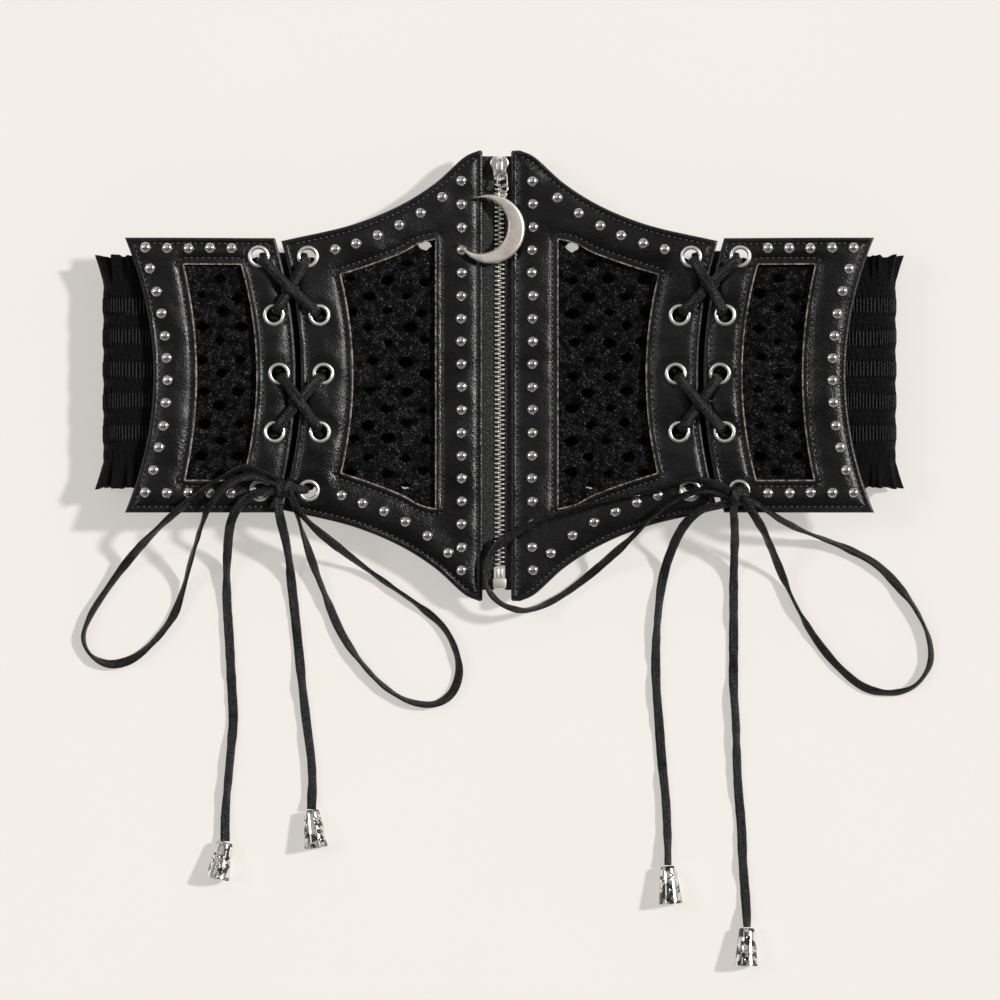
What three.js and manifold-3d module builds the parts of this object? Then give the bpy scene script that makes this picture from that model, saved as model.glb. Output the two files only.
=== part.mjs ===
// A corset belt of black leather that lies flat on its back, front up.
// X runs along the belt, Y up the body and Z away from the floor; lengths are in millimetres.
import * as THREE from 'three'
import { mergeVertices } from 'three/addons/utils/BufferGeometryUtils.js'
import Module from 'manifold-3d'

const wasm = await Module()
wasm.setup()

// Clearance between pieces that touch
const gap = 0.3

// Walls
const leatherWall = 2
const netWall = 1.2
const tapeWall = 0.8
const elasticWall = 2

// How the front lies: low at the zip, high where the elastic turns under
const zipHeight = 11
const sideRise = 11

// Centre panels
const tipReach = 101
const tipAcross = 9.2
const tipRound = 0.8
const zipEdgeLeft = 7.6
const zipEdgeRight = 5.2
const lacedWaist = 88.7
const lacedFlare = 8.8
const lacedReach = 60

// Side panels
const lacingGap = 2.4
const sideReach = lacedReach + 1.3
const sideWaistWidth = 63.2
const sideEndWidth = 67.1

// Windows: the leather left round each of them
const centerWindowInset = 21.2
const centerWindowLength = 39
const centerWindowFlare = 5.5
const centerWindowUpper = tipReach - 40
const centerWindowLower = tipReach - 41.5
const centerWindowFall = 16
const sideWindowInset = 17.3
const sideWindowInnerFlare = 7
const sideWindowLength = 26.5
const sideWindowOuterFlare = 5.8
const sideWindowUpper = sideReach - 12
const sideWindowLower = sideReach - 14.6

// Net behind the windows
const netMargin = 3.5
const netPitchX = 16.2
const netPitchY = 14.4
const netHole = 7.6

// Studs
const studRadius = 2.4
const studHeight = 1.6
const studSink = 0.5
const zipStudInset = 9.5
const zipStudCount = 18
const zipStudPitch = (2 * tipReach - 27.92) / (zipStudCount - 1)
const curveStudCount = 6
const curveStudPitch = 9.6
const upperStudStart = 25.7
const upperStudDrop = 9.1
const lowerStudStart = 22.9
const lowerStudDrop = 12.2
const sideRowStart = 28.6
const sideRowCount = 5
const sideRowPitch = 9.5
const sideUpperDrop = 4.7
const sideLowerDrop = 9
const sideColumnInset = 6.3
const sideColumnCount = 10
const sideColumnTop = sideReach - 13.9
const sideColumnPitch = (sideColumnTop + sideReach - 19.06) / (sideColumnCount - 1)

// Eyelets
const eyeletHole = 3.25
const eyeletBarrel = 3.65
const eyeletFlange = 5.05
const eyeletCrown = 0.8
const eyeletTail = 0.5
const eyeletRows = 5
const eyeletTop = sideReach - 8.3
const eyeletPitch = (eyeletTop + sideReach - 9.9) / (eyeletRows - 1)
const centerEyeletInset = 10
const sideEyeletInset = 7.3
const sideEyeletSpread = 2.2

// Zip
const chainWidth = 4.3
const chainThickness = 2.4
const tapeUpper = tipReach - 2.5
const tapeLower = tipReach - 5
const chainUpper = tapeUpper - 9.9
const chainLower = tapeLower - 10
const tapeReach = 14.5
const sliderWidth = 9
const sliderNeck = 6
const sliderLength = 9.6
const sliderPlate = 2
const sliderWeb = 3.6
const bridgeStart = 2.1
const bridgeWidth = 1.8
const bridgeLength = 6.6
const bridgeHeight = 3.1
const bridgeWall = 0.9
const boxWidth = 6
const boxLength = 4.5
const boxDepth = 2
const pinWidth = 3.2
const pinLength = 4.4

// Crescent and its links
const wireRadius = 0.4
const pullWidth = 5.4
const pullLength = 8.3
const pullAcross = 1.4
const pullCorner = 0.8
const pullStart = 2.2
const jumpRadius = 2.3
const jumpTilt = 50
const moonRadius = 15.5
const moonHollow = 12.4
const moonShift = 4.96
const moonTurn = -19
const moonThickness = 2
const moonAcross = -4.1
const lugRadius = 2.1
const lugHole = 1.25
const lugWall = 0.9
const lugTurn = 71
const lugOut = 1

// Elastic
const elasticUpper = sideReach - 8
const elasticLower = sideReach - 11.3
const elasticSeam = 8
const sewnIn = 0.6
const foldReach = 181.1
const frillWidth = 12.5
const frillWave = 1.1
const frillSpread = 0.7
const frillPitch = 7
const ribRows = 5
const ribRowTop = elasticUpper - 18.1
const ribRowPitch = 14.2
const ribRowHeight = 8.1
const ribPitch = 5.2
const ribCrest = 1
const ribValley = 0.3

// Laces and their metal ends
const laceWidth = 4
const laceThickness = 1.6
const knotLength = 12
const knotDepth = 9.6
const knotHeight = 6.6
const coneTop = 3.5
const coneEnd = 5.25
const coneLength = 17
const coneWall = 0.85
const coneCap = 5

// Facets
const studSides = 6
const eyeletSides = 8
const coneSides = 10
const laceSides = 8
const wireSides = 5
const jumpSides = 12

// Finishes
const finishes = {
  leather: { color: 0x17181c, roughness: 0.45, metalness: 0 },
  net: { color: 0x0b0b0d, roughness: 0.9, metalness: 0 },
  elastic: { color: 0x101013, roughness: 0.75, metalness: 0 },
  tape: { color: 0x15161a, roughness: 0.8, metalness: 0 },
  nickel: { color: 0xd6d4d0, roughness: 0.22, metalness: 1 },
  satin: { color: 0xc9c6c0, roughness: 0.35, metalness: 1 },
  lace: { color: 0x121215, roughness: 0.5, metalness: 0 },
}

// Levels measured up from the underside of the leather
const leatherTop = leatherWall
const flangeTop = leatherTop + gap + eyeletCrown
const frontLace = flangeTop + gap + laceThickness / 2
const backLace = -eyeletTail - gap - laceThickness / 2
const moonLevel = leatherTop + studHeight + gap
const knotLevel = flangeTop + gap + knotHeight / 2

// Edges that bow in at the waist: at the given height up from the middle
const bow = (waist, flare, reach, y) => waist + flare * (y / reach) ** 2
const lacedEdge = (y) => bow(lacedWaist, lacedFlare, lacedReach, y)
const sideInnerEdge = (y) => lacedEdge(y) + lacingGap
const sideOuterEdge = (y) =>
  bow(lacedWaist + lacingGap + sideWaistWidth, lacedFlare + sideEndWidth - sideWaistWidth, sideReach, y)
const centerEyeletX = (y) => lacedEdge(y) - centerEyeletInset
const sideEyeletX = (y) => bow(sideInnerEdge(y) + sideEyeletInset, sideEyeletSpread, eyeletTop, y)
const eyeletY = (row) => eyeletTop - row * eyeletPitch

// Upper edge of a centre panel, from its tip to its laced corner
const tipCurve = [
  { along: 0, fall: 0 },
  { along: 0.066, fall: 0.061 },
  { along: 0.224, fall: 0.361 },
  { along: 0.394, fall: 0.595 },
  { along: 0.632, fall: 0.81 },
  { along: 1, fall: 1 },
]

// Upper edge of a centre window, from its zip side to its laced side
const windowCurve = [
  { along: 0, fall: 0 },
  { along: 0.17, fall: 0.12 },
  { along: 0.34, fall: 0.37 },
  { along: 0.7, fall: 0.74 },
  { along: 1, fall: 1 },
]

// How the front rises from the zip to the sides
const riseSections = [
  { out: 0, rise: 0 },
  { out: 0.15, rise: 0.03 },
  { out: 1, rise: 1 },
]
const sideWindowEnd = lacedWaist + lacingGap + sideWindowInset + sideWindowLength + sideWindowOuterFlare
const riseReach = sideWindowEnd + netMargin + gap
const riseStations = riseSections.map((row) => ({ at: row.out * riseReach, value: row.rise * sideRise }))

function readStations(stations, at) {
  if (at <= stations[0].at) return stations[0].value
  for (let i = 1; i < stations.length; i++) {
    if (at > stations[i].at) continue
    const share = (at - stations[i - 1].at) / (stations[i].at - stations[i - 1].at)
    return stations[i - 1].value + share * (stations[i].value - stations[i - 1].value)
  }
  return stations[stations.length - 1].value
}

const frontHeight = (x) => zipHeight + readStations(riseStations, Math.abs(x))

// Mesh helpers
function merged(geometry) {
  const loose = geometry.index ? geometry.toNonIndexed() : geometry
  const plain = new THREE.BufferGeometry()
  plain.setAttribute('position', loose.getAttribute('position').clone())
  const welded = mergeVertices(plain, 1e-4)
  const kept = []
  for (let i = 0; i < welded.index.count; i += 3) {
    const [a, b, c] = [0, 1, 2].map((k) => welded.index.getX(i + k))
    if (a !== b && b !== c && c !== a) kept.push(a, b, c)
  }
  welded.setIndex(kept)
  return welded
}

function outward(geometry) {
  const welded = merged(geometry)
  const place = welded.getAttribute('position')
  const [a, b, c] = [0, 1, 2].map(() => new THREE.Vector3())
  let volume = 0
  for (let i = 0; i < welded.index.count; i += 3) {
    a.fromBufferAttribute(place, welded.index.getX(i))
    b.fromBufferAttribute(place, welded.index.getX(i + 1))
    c.fromBufferAttribute(place, welded.index.getX(i + 2))
    volume += a.dot(b.cross(c))
  }
  if (volume < 0) welded.setIndex([...welded.index.array].reverse())
  return welded
}

function toSolid(geometry) {
  const closed = outward(geometry)
  const vertProperties = new Float32Array(closed.getAttribute('position').array)
  const triVerts = new Uint32Array(closed.index.array)
  return new wasm.Manifold(new wasm.Mesh({ numProp: 3, vertProperties, triVerts }))
}

function toGeometry(solid) {
  const { vertProperties, triVerts } = solid.getMesh()
  const geometry = new THREE.BufferGeometry()
  geometry.setAttribute('position', new THREE.BufferAttribute(new Float32Array(vertProperties), 3))
  geometry.setIndex([...triVerts])
  return geometry
}

// Cuts every triangle that crosses the plane where X has this value
function cutTriangles(corners, value) {
  const near = 1e-3
  const result = []
  for (let i = 0; i < corners.length; i += 3) {
    const tri = corners.slice(i, i + 3)
    const sides = tri.map((p) => (Math.abs(p.x - value) < near ? 0 : Math.sign(p.x - value)))
    const crosses = sides.includes(1) && sides.includes(-1)
    if (!crosses) {
      result.push(...tri)
      continue
    }
    const onPlane = (p, q) => p.clone().lerp(q, (value - p.x) / (q.x - p.x))
    const middle = sides.indexOf(0)
    if (middle >= 0) {
      const [m, p, q] = [0, 1, 2].map((k) => tri[(middle + k) % 3])
      const cut = onPlane(p, q)
      result.push(m, p, cut, m, cut, q)
      continue
    }
    const lone = sides.findIndex((side) => sides.filter((other) => other === side).length === 1)
    const [l, p, q] = [0, 1, 2].map((k) => tri[(lone + k) % 3])
    const flip = p.x > l.x
    const first = flip ? onPlane(l, p) : onPlane(p, l)
    const second = flip ? onPlane(l, q) : onPlane(q, l)
    result.push(l, first, second, first, p, q, first, q, second)
  }
  return result
}

// Lays a piece that was built flat over the shape of the front
function laidOnFront(geometry) {
  const flat = outward(geometry).toNonIndexed().getAttribute('position')
  let corners = Array.from({ length: flat.count }, (_, i) => new THREE.Vector3().fromBufferAttribute(flat, i))
  for (const station of riseStations) {
    if (station.at === 0) continue
    corners = cutTriangles(corners, station.at)
    corners = cutTriangles(corners, -station.at)
  }
  const places = corners.flatMap((p) => [p.x, p.y, p.z + frontHeight(p.x)])
  const laid = new THREE.BufferGeometry()
  laid.setAttribute('position', new THREE.Float32BufferAttribute(places, 3))
  return merged(laid)
}

function slab(outline, holes, bottom, thickness) {
  const turning = THREE.ShapeUtils.isClockWise(outline) ? [...outline].reverse() : outline
  const shape = new THREE.Shape(turning)
  shape.holes = holes.map((hole) => new THREE.Path(hole))
  const geometry = new THREE.ExtrudeGeometry(shape, { depth: thickness, bevelEnabled: false })
  return geometry.translate(0, 0, bottom)
}

function turned(profile, sides) {
  const points = profile.map(([radius, level]) => new THREE.Vector2(radius, level))
  return new THREE.LatheGeometry(points, sides).rotateX(Math.PI / 2)
}

function polygon(x, y, radius, sides) {
  return Array.from({ length: sides }, (_, i) => {
    const angle = (2 * Math.PI * i) / sides
    return new THREE.Vector2(x + radius * Math.cos(angle), y + radius * Math.sin(angle))
  })
}

// Joins closed rings of equally many points into one solid; a closed row of rings has no ends
function lofted(rings, closed = false) {
  const count = rings[0].length
  const corners = []
  const last = closed ? rings.length : rings.length - 1
  for (let i = 0; i < last; i++) {
    const here = rings[i]
    const next = rings[(i + 1) % rings.length]
    for (let k = 0; k < count; k++) {
      const after = (k + 1) % count
      corners.push(here[k], here[after], next[after], here[k], next[after], next[k])
    }
  }
  if (!closed) {
    const cap = (ring, flip, faces) => {
      for (const face of faces) {
        const [a, b, c] = face.map((k) => ring[k])
        corners.push(...(flip ? [a, c, b] : [a, b, c]))
      }
    }
    const first = rings[0]
    const final = rings[rings.length - 1]
    cap(first, true, capFaces(first))
    cap(final, false, capFaces(final))
  }
  const geometry = new THREE.BufferGeometry()
  geometry.setFromPoints(corners)
  return geometry
}

// Triangles over one planar ring, turned the way that its points run
function capFaces(ring) {
  const across = ring[1].clone().sub(ring[0]).normalize()
  const normal = new THREE.Vector3()
  for (let k = 0; k < ring.length; k++) {
    const here = ring[k].clone().sub(ring[0])
    const next = ring[(k + 1) % ring.length].clone().sub(ring[0])
    normal.add(here.cross(next))
  }
  normal.normalize()
  const up = normal.clone().cross(across)
  const flat = ring.map((p) => {
    const offset = p.clone().sub(ring[0])
    return new THREE.Vector2(offset.dot(across), offset.dot(up))
  })
  return THREE.ShapeUtils.triangulateShape(flat, [])
}

// The belt and its pieces
const belt = new THREE.Group()
const materials = Object.fromEntries(
  Object.entries(finishes).map(([name, finish]) => [name, new THREE.MeshStandardMaterial(finish)]),
)

function addPiece(name, geometry, finish) {
  const piece = new THREE.Mesh(merged(geometry), materials[finish].clone())
  piece.name = name
  belt.add(piece)
}

// Panels
function curveThrough(table, start, end, steps) {
  const points = table.map((row) => new THREE.Vector2(
    THREE.MathUtils.lerp(start.x, end.x, row.along),
    THREE.MathUtils.lerp(start.y, end.y, row.fall),
  ))
  return new THREE.SplineCurve(points).getPoints(steps)
}

const upperEdge = curveThrough(
  tipCurve,
  new THREE.Vector2(tipAcross, tipReach),
  new THREE.Vector2(lacedWaist + lacedFlare, lacedReach),
  10,
)

function upperEdgeAt(x) {
  const stations = upperEdge.map((point) => ({ at: point.x, value: point.y }))
  return readStations(stations, x)
}

function bowedEdge(edge, from, to, steps) {
  return Array.from({ length: steps + 1 }, (_, i) => {
    const y = THREE.MathUtils.lerp(from, to, i / steps)
    return new THREE.Vector2(edge(y), y)
  })
}

const flipped = (points) => points.map((point) => new THREE.Vector2(point.x, -point.y)).reverse()
const onSide = (points, side) => points.map((point) => new THREE.Vector2(point.x * side, point.y))

function centerOutline(zipEdge) {
  const laced = bowedEdge(lacedEdge, lacedReach, -lacedReach, 6).slice(1, -1)
  return [
    new THREE.Vector2(zipEdge, tipReach - tipRound),
    ...upperEdge,
    ...laced,
    ...flipped(upperEdge),
    new THREE.Vector2(zipEdge, tipRound - tipReach),
  ]
}

function centerWindow(zipEdge, grow) {
  const inner = zipEdge + centerWindowInset - grow
  const outerWaist = zipEdgeRight + centerWindowInset + centerWindowLength + grow
  const flareReach = centerWindowUpper - centerWindowFall
  const outer = (y) => bow(outerWaist, centerWindowFlare, flareReach, y)
  const half = (reach) => {
    const corner = reach - centerWindowFall + grow
    return curveThrough(
      windowCurve,
      new THREE.Vector2(inner, reach + grow),
      new THREE.Vector2(outer(corner), corner),
      5,
    )
  }
  const upper = half(centerWindowUpper)
  const lower = flipped(half(centerWindowLower))
  const between = bowedEdge(outer, upper[upper.length - 1].y, lower[0].y, 5).slice(1, -1)
  return [...upper, ...between, ...lower]
}

function sideOutline() {
  return [
    ...bowedEdge(sideInnerEdge, -sideReach, sideReach, 6),
    ...bowedEdge(sideOuterEdge, sideReach, -sideReach, 6),
  ]
}

function sideWindow(grow) {
  const start = lacedWaist + lacingGap + sideWindowInset
  const inner = (y) => bow(start - grow, sideWindowInnerFlare, sideWindowUpper, y)
  const outer = (y) => bow(start + sideWindowLength + grow, sideWindowOuterFlare, sideWindowUpper, y)
  const upper = sideWindowUpper + grow
  const lower = sideWindowLower + grow
  return [...bowedEdge(inner, -lower, upper, 4), ...bowedEdge(outer, upper, -lower, 4)]
}

function zipStuds(zipEdge) {
  const column = Array.from({ length: zipStudCount }, (_, i) => (
    [zipEdge + zipStudInset, ((zipStudCount - 1) / 2 - i) * zipStudPitch]
  ))
  const curve = Array.from({ length: curveStudCount }, (_, i) => {
    const above = upperStudStart + i * curveStudPitch
    const below = lowerStudStart + i * curveStudPitch
    return [
      [above, upperEdgeAt(above) - upperStudDrop],
      [below, lowerStudDrop - upperEdgeAt(below)],
    ]
  })
  return [...column, ...curve.flat()]
}

function sideStuds() {
  const rows = Array.from({ length: sideRowCount }, (_, i) => {
    const x = lacedWaist + lacingGap + sideRowStart + i * sideRowPitch
    return [[x, sideReach - sideUpperDrop], [x, sideLowerDrop - sideReach]]
  })
  const column = Array.from({ length: sideColumnCount }, (_, i) => {
    const y = sideColumnTop - i * sideColumnPitch
    return [sideOuterEdge(y) - sideColumnInset, y]
  })
  return [...rows.flat(), ...column]
}

function studDome([x, y]) {
  const dome = turned([
    [0, -studSink],
    [studRadius, -studSink],
    [studRadius * 0.75, studHeight * 0.72],
    [0, studHeight],
  ], studSides)
  return dome.translate(x, y, leatherTop)
}

function panel(outline, window, eyeletX, studs, side) {
  const holeRadius = (eyeletBarrel + gap) / Math.cos(Math.PI / eyeletSides)
  const holes = Array.from({ length: eyeletRows }, (_, row) => {
    const y = eyeletY(row)
    return polygon(eyeletX(y) * side, y, holeRadius, eyeletSides)
  })
  const frame = slab(onSide(outline, side), [onSide(window, side), ...holes], 0, leatherWall)
  const solid = studs.reduce(
    (whole, [x, y]) => whole.add(toSolid(studDome([x * side, y]))),
    toSolid(frame),
  )
  return laidOnFront(toGeometry(solid))
}

function insideOutline(outline, x, y) {
  let inside = false
  for (let i = 0, k = outline.length - 1; i < outline.length; k = i++) {
    const [a, b] = [outline[i], outline[k]]
    const spans = a.y > y !== b.y > y
    if (spans && x < ((b.x - a.x) * (y - a.y)) / (b.y - a.y) + a.x) inside = !inside
  }
  return inside
}

function net(window, border, side) {
  const across = window.map((point) => point.x)
  const start = (Math.min(...across) + Math.max(...across)) / 2
  const rows = Math.ceil(tipReach / netPitchY) * 2
  const holes = []
  for (let row = -rows; row <= rows; row++) {
    const shift = row % 2 === 0 ? 0 : netPitchX / 2
    for (let column = -4; column <= 4; column++) {
      const x = start + column * netPitchX + shift
      const y = (row * netPitchY) / 2
      const corners = polygon(x, y, netHole / 2, 4)
      const fits = corners.every((corner) => insideOutline(border, corner.x, corner.y))
      if (fits && insideOutline(window, x, y)) holes.push(onSide(corners, side))
    }
  }
  return laidOnFront(slab(onSide(border, side), holes, -gap - netWall, netWall))
}

const sides = [
  { name: 'left', side: -1, zipEdge: zipEdgeLeft },
  { name: 'right', side: 1, zipEdge: zipEdgeRight },
]

for (const { name, side, zipEdge } of sides) {
  const center = centerOutline(zipEdge)
  const windowOfCenter = centerWindow(zipEdge, 0)
  const centerPanel = panel(center, windowOfCenter, centerEyeletX, zipStuds(zipEdge), side)
  addPiece(`${name}_center_panel`, centerPanel, 'leather')
  addPiece(`${name}_side_panel`, panel(sideOutline(), sideWindow(0), sideEyeletX, sideStuds(), side), 'leather')
  addPiece(`${name}_center_net`, net(windowOfCenter, centerWindow(zipEdge, netMargin), side), 'net')
  addPiece(`${name}_side_net`, net(sideWindow(0), sideWindow(netMargin), side), 'net')
}

// Eyelets
function eyelet(x, y) {
  const ring = turned([
    [eyeletHole, -eyeletTail],
    [eyeletHole + eyeletCrown / 2, flangeTop],
    [eyeletFlange, leatherTop + gap],
    [eyeletBarrel, leatherTop + gap],
    [eyeletBarrel, -eyeletTail],
    [eyeletHole, -eyeletTail],
  ], eyeletSides)
  return laidOnFront(ring.rotateZ(Math.PI / eyeletSides).translate(x, y, 0))
}

let eyeletNumber = 0
for (const { side } of sides) {
  for (const eyeletX of [centerEyeletX, sideEyeletX]) {
    for (let row = 0; row < eyeletRows; row++) {
      eyeletNumber += 1
      const label = String(eyeletNumber).padStart(2, '0')
      addPiece(`eyelet_${label}`, eyelet(eyeletX(eyeletY(row)) * side, eyeletY(row)), 'nickel')
    }
  }
}

// Zip
function rectangle(left, right, bottom, top) {
  return [
    new THREE.Vector2(left, bottom),
    new THREE.Vector2(right, bottom),
    new THREE.Vector2(right, top),
    new THREE.Vector2(left, top),
  ]
}

const tapeLevel = -gap - tapeWall
for (const { name, side } of sides) {
  const outline = onSide(rectangle(chainWidth / 2 + gap, tapeReach, -tapeLower, tapeUpper), side)
  addPiece(`${name}_zipper_tape`, laidOnFront(slab(outline, [], tapeLevel, tapeWall)), 'tape')
}

const chainLevel = tapeLevel + tapeWall / 2 - chainThickness / 2
const chainOutline = rectangle(-chainWidth / 2, chainWidth / 2, -chainLower, chainUpper)
addPiece('zipper_chain', laidOnFront(slab(chainOutline, [], chainLevel, chainThickness)), 'nickel')

const boxTop = -chainLower - gap
const boxOutline = [
  new THREE.Vector2(-pinWidth / 2, boxTop),
  new THREE.Vector2(-pinWidth / 2, boxTop - pinLength),
  new THREE.Vector2(-boxWidth / 2, boxTop - pinLength),
  new THREE.Vector2(-boxWidth / 2, boxTop - pinLength - boxLength),
  new THREE.Vector2(boxWidth / 2, boxTop - pinLength - boxLength),
  new THREE.Vector2(boxWidth / 2, boxTop - pinLength),
  new THREE.Vector2(pinWidth / 2, boxTop - pinLength),
  new THREE.Vector2(pinWidth / 2, boxTop),
]
addPiece('zipper_box', laidOnFront(slab(boxOutline, [], tapeLevel + tapeWall + gap, boxDepth)), 'nickel')

const sliderStart = chainUpper + gap
const shieldRows = [
  { up: 0, half: sliderNeck / 2 },
  { up: 0.3, half: sliderNeck / 2 },
  { up: 0.6, half: sliderWidth / 2 },
  { up: 0.85, half: sliderWidth * 0.42 },
  { up: 1, half: sliderWidth * 0.2 },
]
const shieldRight = shieldRows.map((row) => new THREE.Vector2(row.half, sliderStart + row.up * sliderLength))
const shield = [...shieldRight, ...onSide(shieldRight, -1).reverse()]
const upperPlate = tapeLevel + tapeWall + gap
const lowerPlate = tapeLevel - gap - sliderPlate
const webHalf = Math.min(sliderWeb, chainWidth) / 2
const web = rectangle(-webHalf, webHalf, sliderStart, sliderStart + sliderLength)
const bridgeBase = sliderStart + bridgeStart
const bridgeOutline = [
  new THREE.Vector2(bridgeBase, -sliderPlate / 2),
  new THREE.Vector2(bridgeBase, bridgeHeight - bridgeWall),
  new THREE.Vector2(bridgeBase + bridgeWall, bridgeHeight),
  new THREE.Vector2(bridgeBase + bridgeLength - bridgeWall, bridgeHeight),
  new THREE.Vector2(bridgeBase + bridgeLength, bridgeHeight - bridgeWall),
  new THREE.Vector2(bridgeBase + bridgeLength, -sliderPlate / 2),
  new THREE.Vector2(bridgeBase + bridgeLength - bridgeWall, -sliderPlate / 2),
  new THREE.Vector2(bridgeBase + bridgeLength - bridgeWall, bridgeHeight - bridgeWall),
  new THREE.Vector2(bridgeBase + bridgeWall, bridgeHeight - bridgeWall),
  new THREE.Vector2(bridgeBase + bridgeWall, -sliderPlate / 2),
]
const toSideView = new THREE.Matrix4().set(0, 0, 1, 0, 1, 0, 0, 0, 0, 1, 0, 0, 0, 0, 0, 1)
const bridge = slab(bridgeOutline, [], -bridgeWidth / 2, bridgeWidth)
  .applyMatrix4(toSideView)
  .translate(0, 0, upperPlate + sliderPlate)
const slider = toSolid(slab(shield, [], upperPlate, sliderPlate))
  .add(toSolid(slab(shield, [], lowerPlate, sliderPlate)))
  .add(toSolid(slab(web, [], lowerPlate + sliderPlate / 2, upperPlate - lowerPlate)))
  .add(toSolid(bridge))
addPiece('zipper_slider', laidOnFront(toGeometry(slider)), 'nickel')

// A closed loop of round wire through these points
function wireLoop(points, normal) {
  const rings = points.map((point, i) => {
    const before = points[(i + points.length - 1) % points.length]
    const after = points[(i + 1) % points.length]
    const tangent = after.clone().sub(before).normalize()
    const across = normal.clone().cross(tangent).normalize()
    const up = tangent.clone().cross(across)
    return polygon(0, 0, wireRadius, wireSides).map((corner) => (
      point.clone().addScaledVector(across, corner.x).addScaledVector(up, corner.y)
    ))
  })
  return lofted(rings, true)
}

const moonMiddle = moonLevel + moonThickness / 2
const pullTop = bridgeBase + pullStart
const pullLow = pullTop - pullLength
const pullLevel = upperPlate + sliderPlate + gap + wireRadius
const pullSlope = (moonMiddle - pullLevel) / pullLength
const pullHalf = pullWidth / 2
const pullPoint = (x, y) => new THREE.Vector3(pullAcross + x, y, pullLevel + (pullTop - y) * pullSlope)
const pullPoints = [
  pullPoint(pullHalf - pullCorner, pullLow),
  pullPoint(pullHalf, pullLow + pullCorner),
  pullPoint(pullHalf, pullTop - pullCorner),
  pullPoint(pullHalf - pullCorner, pullTop),
  pullPoint(pullCorner - pullHalf, pullTop),
  pullPoint(-pullHalf, pullTop - pullCorner),
  pullPoint(-pullHalf, pullLow + pullCorner),
  pullPoint(pullCorner - pullHalf, pullLow),
]
const pullNormal = new THREE.Vector3(0, pullSlope, 1).normalize()
addPiece('slider_pull', laidOnFront(wireLoop(pullPoints, pullNormal)), 'nickel')

const lugAngle = THREE.MathUtils.degToRad(lugTurn)
const lugLine = new THREE.Vector3(Math.cos(lugAngle), Math.sin(lugAngle), 0)
const jumpTop = pullLow + 2 * wireRadius + gap
const moonY = jumpTop - (moonRadius + lugOut + 2 * jumpRadius) * lugLine.y
const moonCenter = new THREE.Vector3(moonAcross, moonY, moonMiddle)
const lugCenter = moonCenter.clone().addScaledVector(lugLine, moonRadius + lugOut)
const jumpCenter = lugCenter.clone().addScaledVector(lugLine, jumpRadius)
const tilt = THREE.MathUtils.degToRad(jumpTilt)
const jumpAcross = new THREE.Vector3(lugLine.y, -lugLine.x, 0)
  .multiplyScalar(Math.cos(tilt))
  .add(new THREE.Vector3(0, 0, Math.sin(tilt)))
const jumpPoints = polygon(0, 0, jumpRadius, jumpSides).map((point) => (
  jumpCenter.clone().addScaledVector(lugLine, point.x).addScaledVector(jumpAcross, point.y)
))
addPiece('jump_ring', laidOnFront(wireLoop(jumpPoints, lugLine.clone().cross(jumpAcross))), 'nickel')

function arc(x, y, radius, from, to, steps) {
  return Array.from({ length: steps + 1 }, (_, i) => {
    const angle = THREE.MathUtils.lerp(from, to, i / steps)
    return new THREE.Vector2(x + radius * Math.cos(angle), y + radius * Math.sin(angle))
  })
}

const hornX = (moonHollow ** 2 - moonRadius ** 2 - moonShift ** 2) / (2 * moonShift)
const hornY = Math.sqrt(moonRadius ** 2 - hornX ** 2)
const outerHorn = Math.atan2(hornY, hornX)
const innerHorn = Math.atan2(hornY, hornX + moonShift)
const crescentOutline = [
  ...arc(0, 0, moonRadius, -outerHorn, outerHorn, 14),
  ...arc(-moonShift, 0, moonHollow, innerHorn, -innerHorn, 10).slice(1, -1),
]
const crescent = slab(crescentOutline, [], -moonThickness / 2, moonThickness)
  .rotateZ(THREE.MathUtils.degToRad(moonTurn))
  .translate(moonCenter.x, moonCenter.y, moonCenter.z)
const lugRing = slab(polygon(0, 0, lugRadius, 8), [], -lugWall / 2, lugWall)
  .translate(lugCenter.x, lugCenter.y, lugCenter.z)
const lugBore = slab(polygon(0, 0, lugHole, 8), [], -moonThickness, 2 * moonThickness)
  .translate(lugCenter.x, lugCenter.y, lugCenter.z)
const moon = toSolid(crescent).add(toSolid(lugRing)).subtract(toSolid(lugBore))
addPiece('moon_pendant', laidOnFront(toGeometry(moon)), 'satin')

// Elastic: a flat loop whose ends turn up round a fold and run in under the side panels
const elasticTop = zipHeight + sideRise - gap
const foldRadius = (elasticTop - elasticWall) / 2
const foldX = foldReach - ribCrest - elasticWall / 2 - foldRadius
const foldZ = elasticWall / 2 + foldRadius
const elasticStart = sideOuterEdge(0) - elasticSeam
const straight = foldX - elasticStart
const turnLength = Math.PI * foldRadius

function elasticPoint(along, offset) {
  const angle = THREE.MathUtils.clamp((along - straight) / foldRadius, 0, Math.PI)
  const before = Math.min(along - straight, 0)
  const after = Math.max(along - straight - turnLength, 0)
  const reach = foldRadius + offset
  return new THREE.Vector2(foldX + before - after + reach * Math.sin(angle), foldZ + reach * Math.cos(angle))
}

const waveStart = sideOuterEdge(elasticUpper) + sewnIn - elasticStart
const waveSteps = Math.floor((straight + turnLength * 0.85 - waveStart) / (frillPitch / 2))
const waveStations = Array.from({ length: waveSteps + 1 }, (_, i) => ({
  along: waveStart + (i * frillPitch) / 2,
  wave: i === 0 || i === waveSteps ? 0 : i % 2 === 0 ? 1 : -1,
}))
const halfStations = [
  { along: 0, wave: 0 },
  ...waveStations,
  { along: straight + turnLength, wave: 0 },
]

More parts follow.
